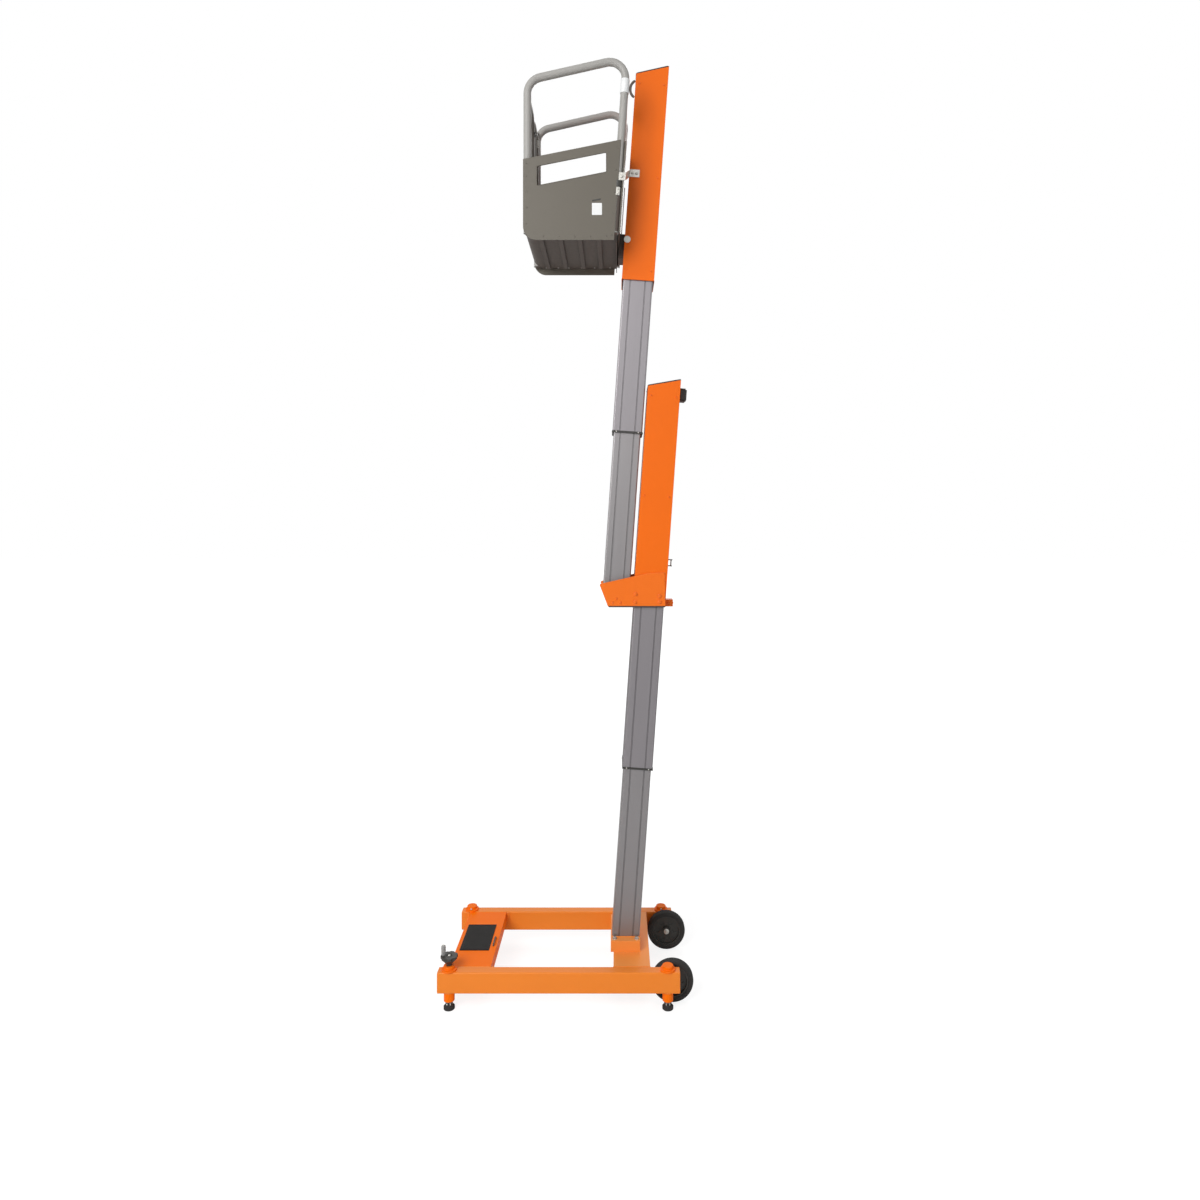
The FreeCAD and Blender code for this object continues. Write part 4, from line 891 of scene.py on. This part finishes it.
class MASTLIFT_OT_carriage(bpy.types.Operator):
    """Add the carriage's bolts, folded lips, welds and the dark strips of painted shade along its
    plates' lower edges, and its cover's brackets
    """

    bl_idname = "mastlift.carriage"
    bl_label = "Carriage"

    # (x, z) on the side plates
    bolts = ((0.353, 2.072), (0.350, 2.029), (0.480, 2.061), (0.480, 2.029))
    clamp_screws = ((0.232, 2.026), (0.274, 2.026), (0.253, 2.046))
    top_lip = ((0.167, 2.122), (0.419, 2.178), (0.507, 2.183))
    front_lip = ((0.210, 2.006), (0.166, 2.121))
    cradle_weld = ((0.215, 2.0095), (0.33, 2.0095))
    plate_thickness = 0.006

    def execute(self, context):
        _, sizes = settings()
        bolts = bmesh.new()
        lips = bmesh.new()
        shade_strips = bmesh.new()
        face = abs(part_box("carriage_plate_left")[0].y)
        for _, sign in SIDES:
            way = SIDEWAYS * sign
            for x, z in self.bolts:
                hex_bolt(bolts, Vector((x, face * sign, z)), way, sizes.bolt)
            for x, z in self.clamp_screws:
                button_screw(bolts, Vector((x, face * sign, z)), way, sizes.screw * 1.2)
            y = (face - self.plate_thickness / 2) * sign
            for line, radius in ((self.top_lip, 0.0036), (self.front_lip, 0.0034)):
                sweep(lips, [Vector((x, y, z)) for x, z in line], radius)
            # Painted shade: a black strip along each plate's lower edge stands for the shade on the
            # plate's lower flange
            brick(shade_strips, Vector((0.3605, y, 2.0045)), (REAR, SIDEWAYS, UP), (0.3, 0.0094, 0.007))
            inner = (face - self.plate_thickness) * sign
            start, end = (Vector((x, inner, z)) for x, z in self.cradle_weld)
            weld_bead(lips, start, end, 0.8)
        piece("carriage_bolts", bolts, "carriage", "carriage_powder_coat")
        piece("carriage_lips", lips, "carriage", "carriage_powder_coat")
        piece("carriage_painted_shade_strips", shade_strips, "carriage", "black_nylon")
        self.tail(sizes)
        self.brackets()
        return {"FINISHED"}

    def tail(self, sizes):
        """The bolt through the tail stub and the two screws of its cap."""
        low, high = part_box("carriage_tail")
        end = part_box("carriage_tail_cap")[1].x
        mesh = bmesh.new()
        for _, sign in SIDES:
            at = Vector(((low.x + high.x) / 2, high.y * sign, (low.z + high.z) / 2))
            hex_bolt(mesh, at, SIDEWAYS * sign, 0.007)
            button_screw(mesh, Vector((end, high.y * sign * 0.6, at.z)), REAR, sizes.screw)
        piece("carriage_tail_bolts", mesh, "carriage", "carriage_powder_coat")

    def brackets(self):
        """The buffer in the cover's upper bracket and the two pins in its lower one."""
        face = mast_box("lower_cover")[1][0]
        buffer = bmesh.new()
        middle = on_mast(face + 0.0235, 0, 2.960)
        brick(buffer, middle, (ACROSS, SIDEWAYS, ALONG), (0.0364, 0.049, 0.0594))
        item = piece("bracket_buffer", buffer, "carriage", "black_nylon")
        edges = item.modifiers.new("edges", "BEVEL")
        edges.width = 0.004
        edges.segments = 2
        edges.limit_method = "ANGLE"
        pins = bmesh.new()
        for side in (-0.010, 0.010):
            start = on_mast(face + 0.022, side, 2.0351)
            turn(pins, start, ALONG, [(0.003, 0), (0.003, 0.0278)], 16)
        piece("bracket_pins", pins, "carriage", "bright_zinc")


class MASTLIFT_OT_basket(bpy.types.Operator):
    """Add the basket's window hems, rivets, blank labels, clamps, hook, strap and floor trim"""

    bl_idname = "mastlift.basket"
    bl_label = "Basket"

    window_x = (-0.154, 0.201)
    window_z = (4.160, 4.260)
    front_rivets = (3.97, 4.05, 4.13, 4.21, 4.275)
    leg_rivets = (3.91, 4.02, 4.13, 4.24, 4.35)
    foot_rivets = (-0.12, -0.04, 0.04, 0.12, 0.2)
    floor_rivets = (-0.152, -0.083, -0.022, 0.052, 0.126, 0.215)
    # Name, x, z, half sizes, slope, corner radius, thickness, surface and slot
    plates = (
        ("blank_label_", 0.153, 4.042, (0.0255, 0.0305), 0, 0.003, 0.0004, "blank_vinyl", None),
        ("dark_strip_", 0.150, 4.088, (0.022, 0.004), PANEL_SLOPE, 0.0015, 0.0005)
        + ("black_nylon", "black_plastic"),
    )
    floor_front = -0.223
    rib_count = 4
    rib_pitch = 0.1
    rib_width = 0.022

    def execute(self, context):
        _, sizes = settings()
        outside = abs(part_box("basket_side_left")[0].y)
        for name, sign in SIDES:
            self.window(name, sign, outside, sizes)
            self.panel_rivets(name, sign, outside)
            self.labels(name, sign, outside)
            self.leg_fittings(name, sign, sizes)
        self.hook()
        self.strap(sizes)
        self.floor_fittings()
        return {"FINISHED"}

    def window(self, name, sign, outside, sizes):
        """The hems round both edges of the slanting window."""
        hems = bmesh.new()
        front = self.window_x[0]
        for depth in (0.0, -0.003):
            corners = [
                Vector((x, (outside + depth) * sign, z + (x - front) * PANEL_SLOPE))
                for x, z in rectangle(*zip(self.window_x, self.window_z))
            ]
            hoop(hems, rounded_loop(corners, 0.006), SIDEWAYS, sizes.hem * 0.6)
        piece("window_hem_" + name, hems, "basket", "basket_powder_coat")

    def panel_rivets(self, name, sign, outside):
        """The rivets down the panel's front edge, down its rear leg and along its foot."""
        mesh = bmesh.new()
        spots = [(-0.205, z) for z in self.front_rivets]
        spots += [(on_leg(z, sign).x - 0.014, z) for z in self.leg_rivets]
        spots += [(x, 3.903) for x in self.foot_rivets]
        for x, z in spots:
            rivet(mesh, Vector((x, outside * sign, z)), SIDEWAYS * sign, 0.0042)
        piece("panel_rivets_" + name, mesh, "basket", "basket_powder_coat")

    def labels(self, name, sign, outside):
        """The blank label and the dark strip that slants above it."""
        for kind, x, z, half, slope, radius, thick, surface, slot in self.plates:
            mesh = bmesh.new()
            corners = [
                Vector((x + across, outside * sign, z + across * slope + rise))
                for across, rise in rectangle((-half[0], -half[1]), half)
            ]
            prism(mesh, rounded_loop(corners, radius), SIDEWAYS * (sign * thick))
            piece(kind + name, mesh, "basket", surface)

    def leg_fittings(self, name, sign, sizes):
        """The pale tab by the panel's rear edge, the dark clamp on the leg, and a dark half shell of
        painted shade over the leg's rear half.
        """
        tab = bmesh.new()
        at = on_leg(4.133, sign) + REAR * 0.002
        at.y = 0.2841 * sign
        brick(tab, at, (ACROSS, SIDEWAYS, ALONG), (0.018, 0.002, 0.040))
        for height in (-0.011, 0.011):
            spot = at + SIDEWAYS * (sign * 0.001) + ALONG * height
            button_screw(tab, spot, SIDEWAYS * sign, sizes.screw)
        piece("leg_tab_" + name, tab, "basket", "bright_zinc")
        clamp = bmesh.new()
        self.leg_sleeve(clamp, on_leg(4.158, sign), 0.0236, 0.0246, 0.034)
        piece("leg_clamps_" + name, clamp, "basket", "black_nylon")
        # Painted shade: a dark half shell wraps the rear half of the lower leg and stands for the
        # shaded side of the tube
        shade_skin = bmesh.new()
        arc = [radians(angle) for angle in range(-84, 85, 12)]
        outline = [(0.0219, angle) for angle in arc] + [(ON_LEG, angle) for angle in reversed(arc)]
        foot = on_leg(3.932, sign)
        outward = SIDEWAYS * sign
        points = [
            foot + ACROSS * (radius * cos(angle)) + outward * (radius * sin(angle))
            for radius, angle in outline
        ]
        prism(shade_skin, points, ALONG * 0.180)
        piece("leg_painted_shade_" + name, shade_skin, "basket", "tray_powder_coat")

    def leg_sleeve(self, mesh, foot, end_radius, radius, tall):
        """A short tube round the leg, with its outer edges broken."""
        half = [(ON_LEG, 0), (end_radius, 0), (radius, 0.001)]
        profile = half + [(spot, tall - along) for spot, along in reversed(half)]
        turn(mesh, foot, ALONG, profile, 40, closed=True)

    def hook(self):
        """The C of round bar on the left rear leg, and the pale sleeve that carries it."""
        outer = 0.0226
        sleeve = bmesh.new()
        self.leg_sleeve(sleeve, on_leg(4.640, -1), 0.0222, outer, 0.072)
        piece("hook_sleeve", sleeve, "basket", "white_nylon")
        mesh = bmesh.new()
        bar = 0.0065
        steps = 16
        points = []
        for index in range(steps + 1):
            share = 2 * index / steps - 1
            out = outer + bar + 0.021 * abs(share) ** 2.6
            points.append(on_leg(4.668 + 0.042 * share, -1) + ACROSS * out)
        sweep(mesh, points, [0.0052] + [bar] * (steps - 1) + [0.0052], 14)
        item = piece("rope_hook", mesh, "basket", "tray_powder_coat")
        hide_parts("basket_hook")

    def strap(self, sizes):
        """The slanting strap that ties the left rear leg to the upper cover, with its bolts."""
        thick = 0.005
        wide = 0.040
        foot = 4.085
        inner = [(-0.3132, 0.280), (-0.2832, 0.280), (-0.2645, COVER_SIDE), (-0.2095, COVER_SIDE)]
        outer = [
            (across + shift, side + thick)
            for (across, side), shift in zip(inner, (0, thick, thick, 0))
        ]
        bolts = ((-0.2972, outer[0][1]), (-0.2465, outer[3][1]), (-0.2245, outer[3][1]))

        def on_strap(across, side, level):
            return on_mast(across, -side, foot + level + (COVER_SIDE - side) * STRAP_SLOPE)

        mesh = bmesh.new()
        outline = [on_strap(across, side, 0) for across, side in inner + outer[::-1]]
        prism(mesh, outline, ALONG * wide)
        for across, side in bolts:
            button_screw(mesh, on_strap(across, side, wide / 2), -SIDEWAYS, sizes.bolt * 0.8)
        item = piece("slanting_strap", mesh, "basket", "bright_zinc")
        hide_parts("basket_straps")

    def floor_fittings(self):
        """The rivets under the floor's edges, and the stitch welds of its ribs."""
        heads = bmesh.new()
        for side in (-0.262, 0.262):
            for x in self.floor_rivets:
                rivet(heads, Vector((x, side, FLOOR_UNDERSIDE)), -UP, 0.0052)
        piece("floor_rivets", heads, "basket", "bright_zinc")
        welds = bmesh.new()
        for index in range(self.rib_count):
            for edge in (0.0, self.rib_width):
                x = self.floor_front + 0.075 + self.rib_pitch * index + edge
                for stitch in range(-2, 3):
                    start, end = (
                        Vector((x, stitch * 0.095 + reach, FLOOR_UNDERSIDE))
                        for reach in (-0.018, 0.018)
                    )
                    weld_bead(welds, start, end, 0.6)
        piece("rib_welds", welds, "basket", "tray_powder_coat")


class MASTLIFT_OT_gates(bpy.types.Operator):
    """Add the gates' springs with their cups, and the bumpers on their free edges"""

    bl_idname = "mastlift.gates"
    bl_label = "Gates"

    coil_radius = 0.0125
    coil_pitch = 0.0036
    coil_turns = 9
    coil_foot = 4.60
    cup_levels = (4.592, 4.640)
    cup = ((0.0124, 0), (0.0138, 0.0006), (0.0138, 0.0034), (0.0124, 0.004))
    bumper_levels = (4.10, 4.33, 4.56)
    bumper = ((0.007, 0), (0.007, 0.003), (0.005, 0.0055))

    def execute(self, context):
        steps = 16
        for name, sign in SIDES:
            hinge = Vector((GATE_LINE, GATE_HINGE * sign, 0))
            coil = bmesh.new()
            points = []
            for index in range(self.coil_turns * steps + 1):
                angle = tau * index / steps
                round_pin = Vector((cos(angle), sin(angle), 0)) * self.coil_radius
                level = self.coil_foot + self.coil_pitch * index / steps
                points.append(hinge + round_pin + UP * level)
            sweep(coil, points, 0.0015, 6)
            for level in self.cup_levels:
                turn(coil, hinge + UP * level, UP, self.cup)
            piece("gate_spring_" + name, coil, name + "_gate", "bright_zinc")
            bumpers = bmesh.new()
            for level in self.bumper_levels:
                at = Vector((GATE_LINE + 0.0095, 0.015 * sign, level))
                turn(bumpers, at, REAR, self.bumper, 18)
            piece("gate_bumpers_" + name, bumpers, name + "_gate", "black_nylon")
        return {"FINISHED"}


class MASTLIFT_OT_winder(bpy.types.Operator):
    """Add the winding box's lid and screws, and the crank's nut and grip"""

    bl_idname = "mastlift.winder"
    bl_label = "Winding gear"

    lid_inset = 0.018
    lid_thickness = 0.0018
    grip = (
        (0.0142, 0), (0.0152, 0.002), (0.0152, 0.012), (0.0162, 0.030), (0.0162, 0.050),
        (0.0152, 0.070), (0.0150, 0.082),
    )

    def execute(self, context):
        low, high = mast_box("winding_box")
        inset = self.lid_inset
        corners = [
            on_mast(low[0], side, along)
            for side, along in rectangle(
                (low[1] + inset, low[2] + inset), (high[1] - inset, high[2] - inset)
            )
        ]
        lid = bmesh.new()
        outline = rounded_loop(corners, 0.010)
        prism(lid, outline, ACROSS * -self.lid_thickness)
        hoop(lid, outline, ACROSS, 0.0013)
        piece("winder_lid", lid, "basket", "black_nylon")
        trim = bmesh.new()
        middle = sum(corners, Vector()) / 4
        for corner in corners:
            inward = (middle - corner).normalized()
            at = corner + inward * 0.013 - ACROSS * self.lid_thickness
            button_screw(trim, at, -ACROSS, 0.0045)
        crank_low, crank_high = mast_box("winding_crank")
        hex_bolt(trim, on_mast(crank_high[0] - 0.028, 0, 4.030), -ACROSS, 0.008)
        piece("winder_fasteners", trim, "basket", "bright_zinc")
        grip = bmesh.new()
        turn(grip, on_mast(crank_low[0] + 0.001, 0, 3.894), ACROSS, self.grip, 28)
        piece("crank_grip", grip, "basket", "black_nylon")
        return {"FINISHED"}


class MASTLIFT_OT_stage(bpy.types.Operator):
    """Set up the pale floor, the soft lights and the camera"""

    bl_idname = "mastlift.stage"
    bl_label = "Stage"

    # Name, place, aim, size in metres, power in watts
    lamps = (
        ("key_light", (-3.0, -6.0, 6.5), (0.2, 0, 2.4), 4.0, 330),
        ("base_light", (-2.6, -4.2, 3.4), (0.1, 0, 0.5), 2.5, 74),
        ("fill_light", (4.5, -4.0, 3.0), (0.2, 0, 2.4), 4.0, 26),
        ("back_light", (1.0, 4.5, 7.0), (0.2, 0, 2.6), 4.0, 150),
    )

    def execute(self, context):
        scene = context.scene
        scene.view_settings.view_transform = "Standard"
        self.floor()
        self.sky(scene)
        for name, place, aim, size, power in self.lamps:
            lamp = bpy.data.lights.new(name, "AREA")
            lamp.size = size
            lamp.energy = power
            holder = place_in_scene(name, lamp)
            holder.location = place
            way = Vector(aim) - Vector(place)
            holder.rotation_euler = way.to_track_quat("-Z", "Y").to_euler()

        camera = bpy.data.cameras.new("camera")
        camera.sensor_width = 36
        camera.lens = 24
        camera.shift_x = -17 / 1200
        camera.shift_y = -70 / 1200
        scene.camera = place_in_scene("camera", camera)
        scene.camera.location = (0.255, -4.35, 2.41)
        scene.camera.rotation_euler = (radians(90), 0, 0)
        return {"FINISHED"}

    def floor(self):
        """A floor that the camera sees as paper white, apart from the shadows by the feet."""
        tones, _ = settings()
        tree, place = blank_surface("studio_floor")
        ray = add(tree, "LightPath")
        white = add(tree, "Emission", {"Color": (1, 1, 1, 1), "Strength": 1.18})
        matt = add(tree, "BsdfDiffuse", {"Color": shade(tones.floor, 1)})
        away = add(tree, "VectorMath", {"operation": "LENGTH"}, {0: place})
        share = add(
            tree,
            "MapRange",
            {"From Min": 1.2, "From Max": 4.0, "To Min": 0.72},
            {"Value": away.outputs["Value"]},
        )
        seen = add(
            tree,
            "Math",
            {"operation": "MULTIPLY"},
            {0: ray.outputs["Is Camera Ray"], 1: share.outputs["Result"]},
        )
        blend = add(
            tree,
            "MixShader",
            links={"Fac": seen.outputs[0], 1: matt.outputs[0], 2: white.outputs[0]},
        )
        add(tree, "OutputMaterial", links={"Surface": blend.outputs[0]})
        mesh = bmesh.new()
        bmesh.ops.create_grid(mesh, x_segments=1, y_segments=1, size=60)
        data = finished_mesh("studio_floor", mesh, "studio_floor")
        place_in_scene("studio_floor", data)

    def sky(self, scene):
        """A white sky, dimmer for what it lights than for what sees it."""
        world = bpy.data.worlds.new("studio")
        scene.world = world
        world.use_nodes = True
        tree = world.node_tree
        tree.nodes.clear()
        ray = add(tree, "LightPath").outputs
        seen = ray["Is Camera Ray"]
        for kind in ("Is Glossy Ray", "Is Transmission Ray"):
            either = add(tree, "Math", {"operation": "MAXIMUM"}, {0: seen, 1: ray[kind]})
            seen = either.outputs[0]
        strength = add(tree, "MapRange", {"To Min": 0.30}, {"Value": seen})
        white = {"Color": (1, 1, 1, 1)}
        sky = add(tree, "Background", white, {"Strength": strength.outputs["Result"]})
        add(tree, "OutputWorld", links={"Surface": sky.outputs[0]})


class MASTLIFT_PT_panel(bpy.types.Panel):
    bl_label = "Mast Lift"
    bl_idname = "MASTLIFT_PT_panel"
    bl_space_type = "VIEW_3D"
    bl_region_type = "UI"
    bl_category = "Mast Lift"

    def draw(self, context):
        for step in STEPS:
            self.layout.operator(step.bl_idname)
        for group in (context.scene.mastlift_colours, context.scene.mastlift_sizes):
            box = self.layout.box()
            for name in group.__annotations__:
                box.prop(group, name)


STEPS = (
    MASTLIFT_OT_finishes,
    MASTLIFT_OT_frame,
    MASTLIFT_OT_tread,
    MASTLIFT_OT_wheels,
    MASTLIFT_OT_jack,
    MASTLIFT_OT_mast,
    MASTLIFT_OT_carriage,
    MASTLIFT_OT_basket,
    MASTLIFT_OT_gates,
    MASTLIFT_OT_winder,
    MASTLIFT_OT_stage,
)
CLASSES = (MASTLIFT_PG_colours, MASTLIFT_PG_sizes) + STEPS + (MASTLIFT_PT_panel,)


def register():
    for item in CLASSES:
        bpy.utils.register_class(item)
    bpy.types.Scene.mastlift_colours = bpy.props.PointerProperty(type=MASTLIFT_PG_colours)
    bpy.types.Scene.mastlift_sizes = bpy.props.PointerProperty(type=MASTLIFT_PG_sizes)


def unregister():
    del bpy.types.Scene.mastlift_sizes
    del bpy.types.Scene.mastlift_colours
    for item in reversed(CLASSES):
        bpy.utils.unregister_class(item)


def main():
    register()
    for step in STEPS:
        group, name = step.bl_idname.split(".")
        getattr(getattr(bpy.ops, group), name)()


if __name__ == "__main__":
    main()
